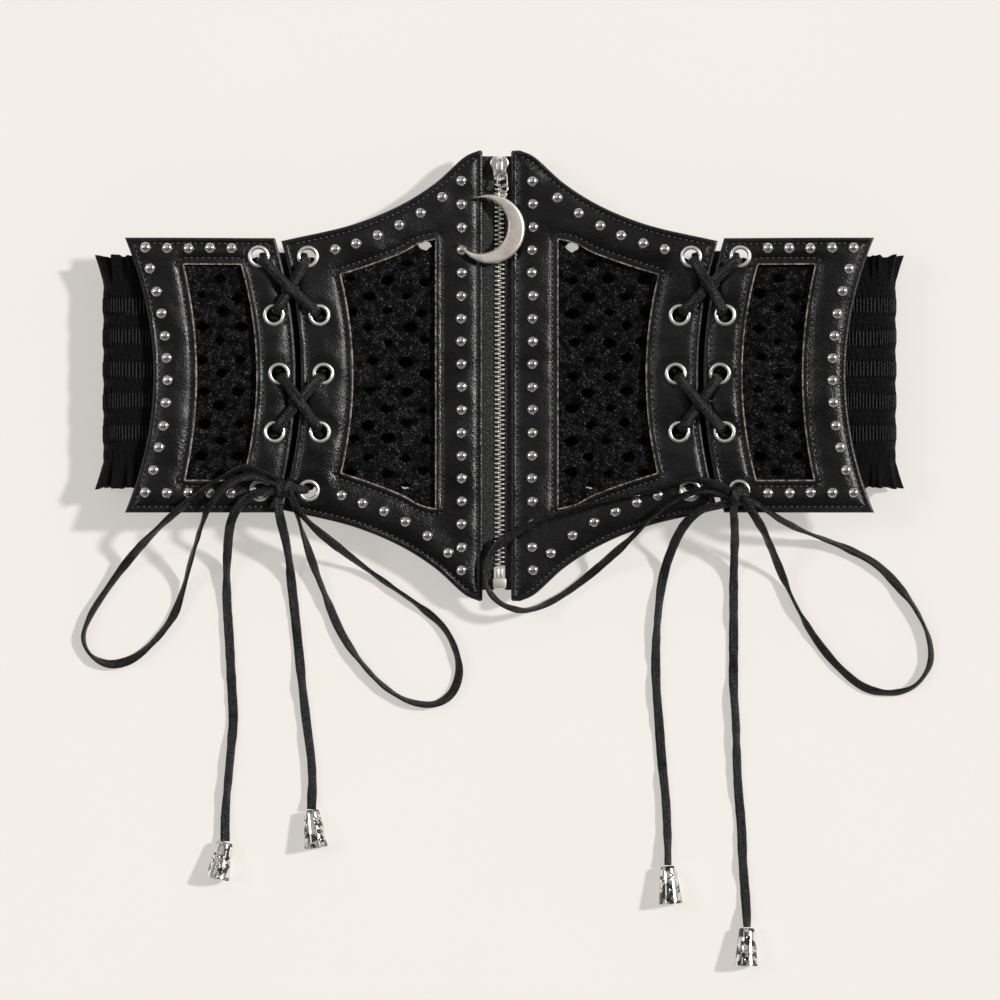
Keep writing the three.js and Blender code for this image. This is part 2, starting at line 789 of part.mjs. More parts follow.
function elasticRing(y, wave, spread) {
  const place = (station, side, offset) => {
    const point = elasticPoint(station.along, offset + station.wave * wave)
    return new THREE.Vector3(point.x * side, y + station.wave * spread, point.y)
  }
  const outer = elasticWall / 2
  return [
    ...halfStations.map((station) => place(station, 1, outer)),
    ...[...halfStations].reverse().map((station) => place(station, -1, outer)),
    ...halfStations.map((station) => place(station, -1, -outer)),
    ...[...halfStations].reverse().map((station) => place(station, 1, -outer)),
  ]
}

const elasticRings = [
  elasticRing(-elasticLower, frillWave, -frillSpread),
  elasticRing(frillWidth - elasticLower, 0, 0),
  elasticRing(elasticUpper - frillWidth, 0, 0),
  elasticRing(elasticUpper, frillWave, frillSpread),
]

function ribRow(side, row) {
  const upper = ribRowTop - row * ribRowPitch
  const lower = upper - ribRowHeight
  const start = sideOuterEdge(Math.max(Math.abs(upper), Math.abs(lower))) + sewnIn - elasticStart
  const steps = 2 * Math.floor((straight + turnLength * 0.7 - start) / ribPitch)
  const outer = Array.from({ length: steps + 1 }, (_, i) => {
    const lift = i % 2 === 0 ? ribValley : ribCrest
    return elasticPoint(start + (i * ribPitch) / 2, elasticWall / 2 + lift)
  })
  const inner = Array.from({ length: steps / 2 + 1 }, (_, i) => elasticPoint(start + i * ribPitch, 0))
  const outline = [...outer, ...inner.reverse()]
  const bar = slab(outline, [], lower, ribRowHeight)
  return bar.applyMatrix4(new THREE.Matrix4().set(side, 0, 0, 0, 0, 0, 1, 0, 0, 1, 0, 0, 0, 0, 0, 1))
}

let elastic = toSolid(lofted(elasticRings))
for (const { side } of sides) {
  for (let row = 0; row < ribRows; row++) elastic = elastic.add(toSolid(ribRow(side, row)))
}
addPiece('elastic_band', toGeometry(elastic), 'elastic')

// Laces between the panels, drawn flat and laid over the front
function ribbon(stops) {
  let across = null
  const rings = stops.map((stop, i) => {
    const before = stops[Math.max(i - 1, 0)].at
    const after = stops[Math.min(i + 1, stops.length - 1)].at
    const tangent = after.clone().sub(before).normalize()
    const wish = new THREE.Vector3(-stop.heading.y, stop.heading.x, 0)
    if (across && wish.dot(across) < 0) wish.negate()
    across = wish
    const square = across.clone().addScaledVector(tangent, -across.dot(tangent)).normalize()
    const up = tangent.clone().cross(square)
    return [[1, 1], [-1, 1], [-1, -1], [1, -1]].map(([wide, thick]) => (
      stop.at.clone()
        .addScaledVector(square, (wide * laceWidth) / 2)
        .addScaledVector(up, (thick * laceThickness) / 2)
    ))
  })
  return lofted(rings)
}

const knots = {
  left: { x: 96, y: -50 },
  right: { x: 106.5, y: -53.5 },
}

function knotSolid(name, grow) {
  const { x, y } = knots[name]
  const side = name === 'left' ? -1 : 1
  const shape = new THREE.SphereGeometry(1, 8, 6)
    .scale(knotLength / 2 + grow, knotDepth / 2 + grow, knotHeight / 2 + grow)
    .translate(x * side, y, frontHeight(x) + knotLevel)
  return toSolid(shape)
}

function laceStops(name) {
  const eye = { C: centerEyeletX, S: sideEyeletX }
  const hole = (label) => {
    const row = Number(label[1]) - 1
    return new THREE.Vector3(eye[label[0]](eyeletY(row)), eyeletY(row), 0)
  }
  const overSide = name === 'left' ? ['C4', 'S1'] : ['S2', 'C3']
  const path = ['C5', 'C4', 'S3', 'S2', 'C1', 'S1', 'C2', 'C3', 'S4', 'S5']
  const bend = laceThickness
  const knot = new THREE.Vector3(knots[name].x, knots[name].y, knotLevel - knotHeight * 0.42)
  const stops = []
  const start = hole(path[0])
  const lead = knot.clone().sub(start).setZ(0).normalize()
  stops.push({ at: knot, heading: lead })
  stops.push({ at: start.clone().addScaledVector(lead, bend).setZ(frontLace), heading: lead })
  for (let i = 0; i < path.length - 1; i++) {
    const from = hole(path[i])
    const to = hole(path[i + 1])
    const heading = to.clone().sub(from).normalize()
    const behind = i % 2 === 0
    const level = behind ? backLace : frontLace
    const near = behind ? -eyeletTail : flangeTop
    stops.push({ at: from.clone().setZ(near), heading })
    stops.push({ at: from.clone().addScaledVector(heading, bend).setZ(level), heading })
    if (!behind && overSide.includes(path[i])) {
      const over = level + laceThickness + gap
      const middle = from.clone().lerp(to, 0.5)
      stops.push({ at: middle.clone().addScaledVector(heading, -laceWidth).setZ(over), heading })
      stops.push({ at: middle.clone().addScaledVector(heading, laceWidth).setZ(over), heading })
    }
    stops.push({ at: to.clone().addScaledVector(heading, -bend).setZ(level), heading })
    stops.push({ at: to.clone().setZ(near), heading })
  }
  const last = hole(path[path.length - 1])
  const away = knot.clone().sub(last).setZ(0).normalize()
  const far = knot.distanceTo(last.clone().setZ(knot.z)) > 3 * bend
  stops.push({ at: last.clone().setZ(flangeTop), heading: away })
  if (far) stops.push({ at: last.clone().addScaledVector(away, bend).setZ(frontLace), heading: away })
  stops.push({ at: knot.clone().addScaledVector(away, -bend / 2).setZ(knot.z + bend / 2), heading: away })
  return stops
}

for (const { name, side } of sides) {
  const stops = laceStops(name).map(({ at, heading }) => ({
    at: new THREE.Vector3(at.x * side, at.y, at.z),
    heading: new THREE.Vector3(heading.x * side, heading.y, 0),
  }))
  const lace = toSolid(laidOnFront(ribbon(stops))).subtract(knotSolid(name, gap))
  addPiece(`${name}_lacing`, toGeometry(lace), 'lace')
  addPiece(`${name}_knot`, toGeometry(knotSolid(name, 0)), 'lace')
}

// Loose ends: routes along the middle of each lace, from its knot
const looseRoutes = [
  {
    name: 'left_outer_loop', knot: 'left', steps: 16, points: [
      [-98, -47.6, 23.8], [-104.5, -44.4, 23.8], [-113.4, -41.3, 24.6], [-125.3, -46.4, 25.6],
      [-138, -56, 27.2], [-145, -62, 27.2], [-153, -69, 22], [-160, -75.5, 13.5], [-167, -83, 5.5],
      [-176, -94.8, 1.5], [-184.5, -108.3, 1.5], [-187.4, -117.8, 1.5], [-184.5, -125, 1.5],
      [-176.2, -129.5, 1.5], [-166.3, -127.7, 1.5], [-156.8, -120.5, 1.5], [-147.2, -108.3, 1.6],
      [-142.6, -96.5, 2.6], [-139.5, -86, 8.5], [-136, -76, 17], [-132.5, -66.5, 25],
      [-128.9, -58, 28.2], [-120.8, -49, 28.6], [-110.9, -45.2, 27.6], [-99, -48.6, 26.4],
    ],
  },
  {
    name: 'left_inner_loop', knot: 'left', steps: 15, points: [
      [-93, -52.5, 23.4], [-91.5, -57.5, 23.4], [-90, -62.5, 23.4], [-88.4, -69, 19], [-86.4, -76, 12],
      [-84, -84, 5], [-79.5, -96, 1.7], [-71.3, -115.5, 1.5], [-61.4, -129.9, 1.5],
      [-50.6, -140.7, 1.5], [-39.8, -146.6, 1.5], [-29, -147.5, 1.5], [-21.8, -143, 1.5],
      [-18.2, -133.5, 1.5], [-20, -122.7, 1.5], [-25.4, -112.8, 1.5], [-36.2, -103.4, 1.5],
      [-48.4, -94.8, 1.7], [-58, -88, 3.2], [-66.5, -81.5, 9], [-74.5, -75, 17], [-82, -68.5, 23],
      [-87.5, -62.8, 25.6], [-91.3, -57, 26.2], [-94, -51.5, 26.2],
    ],
  },
  {
    name: 'right_inner_loop', knot: 'right', steps: 17, points: [
      [102.5, -52, 27.4], [99.2, -50, 27.4], [93, -47.8, 27.2], [86, -46.6, 26.4], [80.3, -47.6, 24.8],
      [68.6, -51.2, 21.4], [51.1, -55.2, 19], [33.5, -59.7, 17.2], [17.3, -65.6, 16.8],
      [5.6, -71.4, 15.4], [-3.4, -78.6, 15], [-6.5, -87.6, 14.9], [-4.7, -96.2, 14.8],
      [0.6, -102, 14.6], [9, -105, 13], [16, -104.4, 8.4], [23, -101.5, 3.8], [30.5, -97, 1.7],
      [38.5, -91, 2.4], [44.5, -86, 5.4], [50.5, -80.5, 11.4], [56, -75.5, 17], [62, -69.4, 20.4],
      [68.6, -63, 21.4], [78.5, -55.6, 22.8], [86, -52.4, 23.9], [93, -51.4, 24.6], [103, -53, 25.2],
    ],
  },
  {
    name: 'right_outer_loop', knot: 'right', steps: 16, points: [
      [109, -54.5, 24.6], [114.5, -57.4, 24.6], [120, -61, 24], [126, -64.8, 21.5], [133, -68.2, 16],
      [141, -71.5, 9.5], [149, -74.5, 4.2], [157, -77.8, 1.8], [169.4, -84.5, 1.5],
      [179.8, -94.8, 1.5], [188.3, -106.5, 1.5], [193.7, -119.6, 1.5], [193.7, -129.9, 1.5],
      [187, -139.4, 1.5], [176.6, -142.5, 1.5], [164.9, -140.3, 1.5], [153.2, -131.3, 1.5],
      [141.5, -116.9, 1.5], [133, -102, 1.6], [128.5, -92.5, 2.8], [125, -84.5, 7.5],
      [121.3, -76.5, 15], [117.5, -69, 22], [114, -63.4, 26.2], [110.9, -58.8, 27.6],
      [107.5, -54.5, 27.4],
    ],
  },
  {
    name: 'left_outer_tail', knot: 'left', cone: 1, steps: 8, points: [
      [-98.5, -51.6, 25.2], [-104.5, -51.9, 25.2], [-111, -53.6, 25.4], [-116.2, -58.5, 25.4],
      [-119.3, -64.5, 23.6], [-121, -71, 17], [-122, -78, 9.5], [-122.7, -86, 4],
      [-122.8, -101, 1.5], [-121.7, -119, 1.5], [-120.8, -137, 1.5], [-120, -154.7, 1.5],
      [-120.8, -166, 1.5], [-122.2, -181.7, 1.5], [-123.4, -196, 1.7], [-123.6, -203, 2.5],
    ],
  },
  {
    name: 'left_inner_tail', knot: 'left', cone: 2, steps: 7, points: [
      [-97.4, -52.5, 24], [-98.6, -57, 24], [-98, -62, 24], [-96.8, -68, 20.5],
      [-95.6, -74.5, 14], [-94.7, -82, 7], [-93.8, -92, 2.2], [-91.6, -112.8, 1.5],
      [-89.3, -134.9, 1.5], [-87.1, -154.7, 1.5], [-84.8, -172.7, 1.5], [-84.3, -183, 1.7],
      [-84.5, -189.5, 2.6],
    ],
  },
  {
    name: 'right_inner_tail', knot: 'right', cone: 3, steps: 9, points: [
      [103, -56.4, 24.2], [97.5, -58.2, 24.2], [91.5, -59.4, 23.6], [86.5, -62.4, 22.6],
      [82.5, -67, 19.4], [79.5, -72.5, 13.5], [77, -79, 7.5], [74.8, -86, 3.2], [72.7, -96.2, 1.5],
      [71.1, -111, 1.5], [70.4, -125.4, 1.5], [70.7, -140.3, 1.5], [71.8, -154.7, 1.5],
      [73.1, -172.7, 1.5], [74.9, -190.7, 1.5], [75.6, -205, 1.7], [75.8, -213.5, 2.6],
    ],
  },
  {
    name: 'right_outer_tail', knot: 'right', cone: 4, steps: 9, points: [
      [105.5, -56.5, 24.6], [104.3, -60, 24.6], [104.6, -64.5, 23.8], [105.1, -70, 18.5],
      [105.4, -76, 12], [105.5, -82.5, 6], [105.5, -90, 2.4], [105.5, -118.2, 1.5],
      [105.5, -140.3, 1.5], [106.4, -154.7, 1.5], [107.3, -181.7, 1.5], [109.1, -204.2, 1.5],
      [109.6, -218.1, 1.5], [110.6, -231.6, 1.7], [111.2, -241, 2.6],
    ],
  },
]

// Metal cones on the free ends: where the lace goes in, and the way that each one points
const cones = [
  { number: 1, x: -123.5, y: -209.6, toward: [-3.4, -16.6] },
  { number: 2, x: -84.6, y: -195.2, toward: [2, -15.7] },
  { number: 3, x: 75.8, y: -220.4, toward: [1.2, -17.1] },
  { number: 4, x: 111.4, y: -248.3, toward: [-0.5, -17.1] },
]

function coneAxis(cone) {
  const plan = new THREE.Vector2(...cone.toward).normalize().multiplyScalar(coneLength)
  return new THREE.Vector3(plan.x, plan.y, coneEnd - coneTop).normalize()
}

for (const cone of cones) {
  const innerTop = coneTop - coneWall + ((coneEnd - coneTop) * coneCap) / coneLength
  const shape = turned([
    [0, 0],
    [coneTop, 0],
    [coneEnd, coneLength],
    [coneEnd - coneWall, coneLength],
    [innerTop, coneCap],
    [0, coneCap],
  ], coneSides)
  const piece = new THREE.Mesh(merged(outward(shape)), materials.nickel.clone())
  piece.name = `cord_end_${cone.number}`
  piece.position.set(cone.x, cone.y, coneTop + gap)
  piece.quaternion.setFromUnitVectors(new THREE.Vector3(0, 0, 1), coneAxis(cone))
  belt.add(piece)
}

const laceSection = new THREE.Shape(Array.from({ length: laceSides }, (_, i) => {
  const angle = (2 * Math.PI * (i + 0.5)) / laceSides
  const square = Math.cos(Math.PI / laceSides)
  return new THREE.Vector2(
    (laceThickness / 2 / square) * Math.cos(angle),
    (laceWidth / 2 / square) * Math.sin(angle),
  )
}))

for (const route of looseRoutes) {
  const points = route.points.map(([x, y, z]) => new THREE.Vector3(x, y, z))
  const cone = cones.find((one) => one.number === route.cone)
  if (cone) {
    const mouth = new THREE.Vector3(cone.x, cone.y, coneTop + gap)
    points.push(mouth.addScaledVector(coneAxis(cone), -2 * gap))
  }
  const tube = new THREE.ExtrudeGeometry(laceSection, {
    steps: route.steps,
    extrudePath: new THREE.CatmullRomCurve3(points, false, 'centripetal'),
  })
  const lace = toSolid(tube).subtract(knotSolid(route.knot, gap))
  addPiece(route.name, toGeometry(lace), 'lace')
}

export default belt
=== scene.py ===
import math

import bpy
import numpy as np
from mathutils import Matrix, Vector
from mathutils.geometry import delaunay_2d_cdt


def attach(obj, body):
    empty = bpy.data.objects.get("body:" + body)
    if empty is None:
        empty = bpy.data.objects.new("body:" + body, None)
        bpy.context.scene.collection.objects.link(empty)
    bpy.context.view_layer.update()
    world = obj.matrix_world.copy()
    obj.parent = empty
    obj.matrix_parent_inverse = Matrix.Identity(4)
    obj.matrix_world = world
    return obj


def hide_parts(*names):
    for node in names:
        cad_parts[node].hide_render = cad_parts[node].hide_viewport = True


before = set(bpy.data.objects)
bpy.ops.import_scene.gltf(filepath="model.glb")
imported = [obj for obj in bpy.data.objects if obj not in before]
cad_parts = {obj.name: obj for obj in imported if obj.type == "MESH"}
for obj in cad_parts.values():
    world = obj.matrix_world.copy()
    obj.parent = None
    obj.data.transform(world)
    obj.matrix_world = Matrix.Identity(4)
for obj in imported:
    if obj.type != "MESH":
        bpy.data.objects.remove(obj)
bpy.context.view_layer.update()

MM = 0.001

# Levels above the underside of the leather
LEATHER_TOP = 2.0
FLANGE_TOP = 3.1
NET_BOTTOM = -1.5
FRONT_LACE = 4.2
BACK_LACE = -1.6

# How high the underside of the leather lies, outwards from the zip
RISE_OUT = [0.0, 21.675, 144.5]
RISE_UP = [11.0, 11.33, 22.0]


def front_height(x):
    return np.interp(np.abs(x), RISE_OUT, RISE_UP)


# Scene helpers
def add_piece(name, points, faces, material, slot, replaced=(), uv=None, marks=None):
    """Makes one mesh piece from points in millimetres, and lets it ride on the belt."""
    mesh = bpy.data.meshes.new(name)
    corners = [tuple(point) for point in np.asarray(points, float) * MM]
    mesh.from_pydata(corners, [], [tuple(map(int, face)) for face in faces])
    mesh.validate()
    if uv is not None:
        layer = mesh.uv_layers.new(name="laid_flat")
        corner = np.empty(len(mesh.loops), dtype=np.int32)
        mesh.loops.foreach_get("vertex_index", corner)
        layer.data.foreach_set("uv", np.asarray(uv, float)[corner].ravel())
    for mark, values in (marks or {}).items():
        attribute = mesh.attributes.new(mark, "FLOAT", "POINT")
        attribute.data.foreach_set("value", np.asarray(values, float))
    mesh.polygons.foreach_set("use_smooth", [True] * len(mesh.polygons))
    mesh.materials.append(material)
    piece = bpy.data.objects.new(name, mesh)
    bpy.context.scene.collection.objects.link(piece)
    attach(piece, "root")
    if replaced:
        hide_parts(*replaced)
    return piece


class Heap:
    """Collects many small shapes into one mesh."""

    def __init__(self):
        self.points = []
        self.faces = []
        self.uv = []
        self.count = 0

    def add(self, points, faces, uv=None):
        points = np.asarray(points, float)
        self.points.append(points)
        self.uv.append(np.zeros((len(points), 2)) if uv is None else np.asarray(uv, float))
        self.faces.extend([tuple(int(k) + self.count for k in face) for face in faces])
        self.count += len(points)

    def piece(self, name, material, slot, replaced=()):
        add_piece(name, np.vstack(self.points), self.faces, material, slot, replaced, np.vstack(self.uv))


def unit(vectors):
    vectors = np.asarray(vectors, float)
    size = np.linalg.norm(vectors, axis=-1, keepdims=True)
    return vectors / np.maximum(size, 1e-9)


def full_turn(count):
    """Angles spread evenly over a whole turn."""
    return np.linspace(0, 2 * math.pi, count, endpoint=False)


def smooth_step(share):
    return share * share * (3 - 2 * share)


def run_along(line):
    """The way along a line to each of its points."""
    return np.concatenate([[0], np.cumsum(np.linalg.norm(np.diff(line, axis=0), axis=1))])


def smooth_path(points, step):
    """A centripetal Catmull-Rom curve through the points, with a point about every step."""
    points = np.asarray(points, float)
    extended = np.vstack([2 * points[0] - points[1], points, 2 * points[-1] - points[-2]])
    curve = []
    for i in range(len(points) - 1):
        a, b, c, d = extended[i:i + 4]
        t0 = 0.0
        t1 = t0 + max(np.linalg.norm(b - a), 1e-6) ** 0.5
        t2 = t1 + max(np.linalg.norm(c - b), 1e-6) ** 0.5
        t3 = t2 + max(np.linalg.norm(d - c), 1e-6) ** 0.5
        count = max(2, int(np.linalg.norm(c - b) / step * 3))
        for t in np.linspace(t1, t2, count, endpoint=False):
            ab = (t1 - t) / (t1 - t0) * a + (t - t0) / (t1 - t0) * b
            bc = (t2 - t) / (t2 - t1) * b + (t - t1) / (t2 - t1) * c
            cd = (t3 - t) / (t3 - t2) * c + (t - t2) / (t3 - t2) * d
            abc = (t2 - t) / (t2 - t0) * ab + (t - t0) / (t2 - t0) * bc
            bcd = (t3 - t) / (t3 - t1) * bc + (t - t1) / (t3 - t1) * cd
            curve.append((t2 - t) / (t2 - t1) * abc + (t - t1) / (t2 - t1) * bcd)
    curve.append(points[-1])
    return evenly(np.array(curve), step)


def evenly(line, step):
    """The same line with a point every step, or as near to it as divides its length."""
    run = run_along(line)
    count = max(3, int(round(run[-1] / step)))
    at = np.linspace(0, run[-1], count + 1)
    return np.stack([np.interp(at, run, line[:, k]) for k in range(line.shape[1])], axis=1)


def ring_faces(rows, sides, closed=False, flip=False):
    """Faces between rings of points that follow each other, the other way round if flipped."""
    faces = []
    for i in range(rows if closed else rows - 1):
        here, after = i * sides, (i + 1) % rows * sides
        for k in range(sides):
            n = (k + 1) % sides
            if flip:
                faces.append((here + k, here + n, after + n, after + k))
            else:
                faces.append((here + k, after + k, after + n, here + n))
    return faces


def end_faces(rows, sides):
    """The faces that close the first and the last ring."""
    return [tuple(range(sides)), tuple(reversed(range((rows - 1) * sides, rows * sides)))]


def tube(path, across, up, section, closed=False):
    """Points, faces and flat coordinates of a section carried along a path.
    The section is rows of (sideways, upwards), the same at every point or one for each point."""
    count = len(path)
    section = np.asarray(section, float)
    if section.ndim == 2:
        section = np.repeat(section[None], count, axis=0)
    sides = section.shape[1]
    rings = path[:, None] + section[:, :, :1] * across[:, None] + section[:, :, 1:] * up[:, None]
    uv = np.stack([np.repeat(run_along(path), sides), np.tile(run_along(section[0]), count)], axis=1)
    faces = ring_faces(count, sides, closed)
    if not closed:
        faces += end_faces(count, sides)
    return rings.reshape(-1, 3), faces, uv


def directions_across(path):
    """The level and the upright direction across a path."""
    tangent = unit(np.gradient(path, axis=0))
    across = unit(np.cross(tangent, [0, 0, 1.0]))
    return across, unit(np.cross(across, tangent))


def closed_tangent(line):
    return unit(np.roll(line, -1, axis=0) - np.roll(line, 1, axis=0))


def square_to(vectors, tangent):
    """Unit vectors without the part that runs along the tangent."""
    return unit(vectors - (vectors * tangent).sum(axis=1)[:, None] * tangent)


def rolled(across, up, angle):
    """The two directions across a path, turned about it by an angle at each point."""
    cosine, sine = np.cos(angle)[:, None], np.sin(angle)[:, None]
    return across * cosine + up * sine, up * cosine - across * sine


def rounded_section(width, thickness, sides, power):
    """An oval, more like a box the higher the power is."""
    c, s = np.cos(full_turn(sides)), np.sin(full_turn(sides))
    return np.stack([
        width / 2 * np.sign(c) * np.abs(c) ** (2 / power),
        thickness / 2 * np.sign(s) * np.abs(s) ** (2 / power),
    ], axis=1)


def widened(section, widths):
    """One section for each width, with its sideways size times that width."""
    sections = np.repeat(section[None], len(widths), axis=0)
    sections[:, :, 0] *= widths[:, None]
    return sections


def around(first, second, turn):
    """Points of a circle, or of an oval where the two directions aren't equally long."""
    return np.cos(turn)[:, None] * first + np.sin(turn)[:, None] * second


def turned(profile, sides, place, axis=(0, 0, 1)):
    """A profile of (radius, height) turned about an axis at a place."""
    axis = unit(axis)
    lean = np.array([1.0, 0, 0]) if abs(axis[0]) < 0.9 else np.array([0, 1.0, 0])
    first = unit(np.cross(axis, lean))
    ring = around(first, np.cross(axis, first), full_turn(sides))
    points = [np.asarray(place, float) + height * axis + radius * ring for radius, height in profile]
    return np.vstack(points), ring_faces(len(profile), sides, flip=True)


def ripple(values, seed, wave, height):
    """A gentle repeatable unevenness along a row of values."""
    random = np.random.default_rng(seed)
    total = np.zeros(len(values))
    for part in range(4):
        phase = random.uniform(0, 2 * math.pi)
        total += np.sin(values / wave * (1 + 0.7 * part) * 2 * math.pi + phase) / (1 + part)
    return total * height / 2


# Material helpers
class Look:
    """A Principled material and the nodes that feed it, with positions in millimetres."""

    def __init__(self, name, color, roughness, metallic=0.0, **fixed):
        self.material = bpy.data.materials.new(name)
        self.material.use_nodes = True
        self.tree = self.material.node_tree
        self.tree.nodes.clear()
        self.shader = self.tree.nodes.new("ShaderNodeBsdfPrincipled")
        output = self.tree.nodes.new("ShaderNodeOutputMaterial")
        self.tree.links.new(self.shader.outputs["BSDF"], output.inputs["Surface"])
        self.shader.inputs["Base Color"].default_value = (*color, 1)
        self.shader.inputs["Roughness"].default_value = roughness
        self.shader.inputs["Metallic"].default_value = metallic
        for socket, value in fixed.items():
            self.shader.inputs[socket.replace("_", " ")].default_value = value
        self.normal = None
        self.coordinates = self.tree.nodes.new("ShaderNodeTexCoord")
        self.place = self.scaled(self.coordinates.outputs["Object"], (1000, 1000, 1000))
        self.flat = self.coordinates.outputs["UV"]

    def put(self, value, socket):
        """Sets a socket to a number, colour or vector, or links it to another node's output."""
        if isinstance(value, (int, float)):
            socket.default_value = value
        elif isinstance(value, tuple):
            opaque = len(socket.default_value) - len(value)
            socket.default_value = (*value, *[1] * opaque)
        else:
            self.tree.links.new(value, socket)

    def node(self, kind, inputs, output=0, **settings):
        node = self.tree.nodes.new(kind)
        for key, value in settings.items():
            setattr(node, key, value)
        for key, value in inputs.items():
            self.put(value, node.inputs[key])
        return node.outputs[output]

    def scaled(self, vector, scale, location=(0, 0, 0)):
        return self.node("ShaderNodeMapping", {"Vector": vector, "Scale": scale, "Location": location})

    def math(self, operation, a, b=0.0):
        return self.node("ShaderNodeMath", {0: a, 1: b}, operation=operation)

    def times(self, a, b):
        return self.math("MULTIPLY", a, b)

    def wave(self, way, pitch):
        """A sine along a way in millimetres, with a crest every pitch."""
        return self.math("SINE", self.times(way, 2 * math.pi / pitch))

    def slant(self, way, operation, pitch):
        """Rises and falls along a way, for threads that change their lean at every turn."""
        return self.math("ABSOLUTE", self.math("SUBTRACT", self.math(operation, way, pitch), pitch / 2))

    def split(self, vector):
        node = self.tree.nodes.new("ShaderNodeSeparateXYZ")
        self.put(vector, node.inputs[0])
        return node.outputs

    def noise(self, scale, detail, roughness=0.5, distortion=0.0):
        return self.node("ShaderNodeTexNoise", {
            "Vector": self.place, "Scale": scale, "Detail": detail, "Roughness": roughness,
            "Distortion": distortion,
        })

    def cells(self, scale, feature="F1", vector=None):
        vector = self.place if vector is None else vector
        inputs = {"Vector": vector, "Scale": scale}
        return self.node("ShaderNodeTexVoronoi", inputs, "Distance", feature=feature)

    def mark(self, name):
        return self.node("ShaderNodeAttribute", {}, output="Fac", attribute_name=name)

    def between(self, value, low, high, to_low=0.0, to_high=1.0):
        return self.node("ShaderNodeMapRange", {
            "Value": value, "From Min": low, "From Max": high, "To Min": to_low, "To Max": to_high,
        })

    def mix(self, share, a, b):
        node = self.tree.nodes.new("ShaderNodeMix")
        node.data_type = "RGBA"
        self.put(share, node.inputs[0])
        self.put(a, node.inputs[6])
        self.put(b, node.inputs[7])
        return node.outputs[2]

    def bump(self, height, strength, depth):
        inputs = {"Height": height, "Strength": strength, "Distance": depth * MM}
        if self.normal is not None:
            inputs["Normal"] = self.normal
        self.normal = self.node("ShaderNodeBump", inputs)

    def finish(self, color, roughness=None):
        self.put(color, self.shader.inputs["Base Color"])
        self.put(self.normal, self.shader.inputs["Normal"])
        if roughness is not None:
            self.put(roughness, self.shader.inputs["Roughness"])
        return self.material


def shaded(color, share):
    return tuple(share * value for value in color)


# Camera and light
FLOOR_SHADE = (0.42, 0.405, 0.382)
FLOOR_GLOW = (0.467, 0.446, 0.419)
FLOOR_HALF = 3000
VIEW_CENTRE = (0.225, -55.67)
VIEW_WIDTH = 450
CAMERA_HEIGHT = 2000
FOCUS_HEIGHT = 4
SENSOR_WIDTH = 36
FAR_CLIP = 20
SUN_DISTANCE = 2
SKY_COLOR = (1.0, 0.985, 0.965, 1)
SKY_RANGE = {"From Min": 0.3, "From Max": 0.9, "To Min": 0.28, "To Max": 0.08}

# Suns: compass turn from +X, rise above the floor and spread in degrees, strength and colour
SUNS = {
    "key_light": (18, 40, 5, 3.4, (1.0, 0.985, 0.96)),
    "second_light": (165, 42, 14, 0.45, (1.0, 0.99, 0.98)),
    "top_light": (120, 62, 56, 0.24, (1.0, 0.985, 0.96)),
}

camera_data = bpy.data.cameras.new("camera")
camera_data.sensor_width = SENSOR_WIDTH
camera_data.lens = SENSOR_WIDTH * (CAMERA_HEIGHT - FOCUS_HEIGHT) / VIEW_WIDTH
camera_data.clip_end = FAR_CLIP
camera = bpy.data.objects.new("camera", camera_data)
camera.location = (VIEW_CENTRE[0] * MM, VIEW_CENTRE[1] * MM, CAMERA_HEIGHT * MM)
bpy.context.scene.collection.objects.link(camera)
bpy.context.scene.camera = camera
bpy.context.scene.view_settings.view_transform = "Standard"


def add_sun(name, turn, rise, spread, strength, color):
    light = bpy.data.lights.new(name, "SUN")
    light.angle = math.radians(spread)
    light.energy = strength
    light.color = color
    lamp = bpy.data.objects.new(name, light)
    a, e = math.radians(turn), math.radians(rise)
    away = Vector((math.cos(a) * math.cos(e), math.sin(a) * math.cos(e), math.sin(e)))
    lamp.location = away * SUN_DISTANCE
    lamp.rotation_euler = (-away).to_track_quat("-Z", "Y").to_euler()
    bpy.context.scene.collection.objects.link(lamp)


for sun_name, sun in SUNS.items():
    add_sun(sun_name, *sun)

world = bpy.data.worlds.new("studio")
world.use_nodes = True
background = world.node_tree.nodes["Background"]
background.inputs["Color"].default_value = SKY_COLOR
sky = world.node_tree.nodes.new("ShaderNodeTexCoord")
heading = world.node_tree.nodes.new("ShaderNodeSeparateXYZ")
dome = world.node_tree.nodes.new("ShaderNodeMapRange")
for socket, value in SKY_RANGE.items():
    dome.inputs[socket].default_value = value
world.node_tree.links.new(sky.outputs["Generated"], heading.inputs[0])
world.node_tree.links.new(heading.outputs["Z"], dome.inputs["Value"])
world.node_tree.links.new(dome.outputs["Result"], background.inputs["Strength"])
bpy.context.scene.world = world


def floor_look():
    look = Look("floor", FLOOR_SHADE, 0.9, Emission_Color=(*FLOOR_GLOW, 1), Emission_Strength=1.0)
    patches = look.between(look.noise(0.01, 3), 0.3, 0.7)
    shade = look.mix(patches, FLOOR_SHADE, shaded(FLOOR_SHADE, 0.985))
    look.bump(look.noise(1.2, 4), 0.15, 0.1)
    return look.finish(shade)


floor_mesh = bpy.data.meshes.new("floor")
floor_corners = [
    (x * FLOOR_HALF * MM, y * FLOOR_HALF * MM, 0) for x, y in ((-1, -1), (1, -1), (1, 1), (-1, 1))
]
floor_mesh.from_pydata(floor_corners, [], [(0, 1, 2, 3)])
floor_mesh.materials.append(floor_look())
floor = bpy.data.objects.new("floor", floor_mesh)
bpy.context.scene.collection.objects.link(floor)


# Laces: the loose loops and ends of the two bows
LACE_WIDTH = 4.0
LOOSE_WIDTH = 4.4
LACE_THICKNESS = 1.6
FLOOR_LACE = 1.5
LACE_STEP = 0.8
LACE_SIDES = 14
LACE_CLEARANCE = 0.12
TAIL_LEAN = 0.3
LOOP_LEAN = 0.95

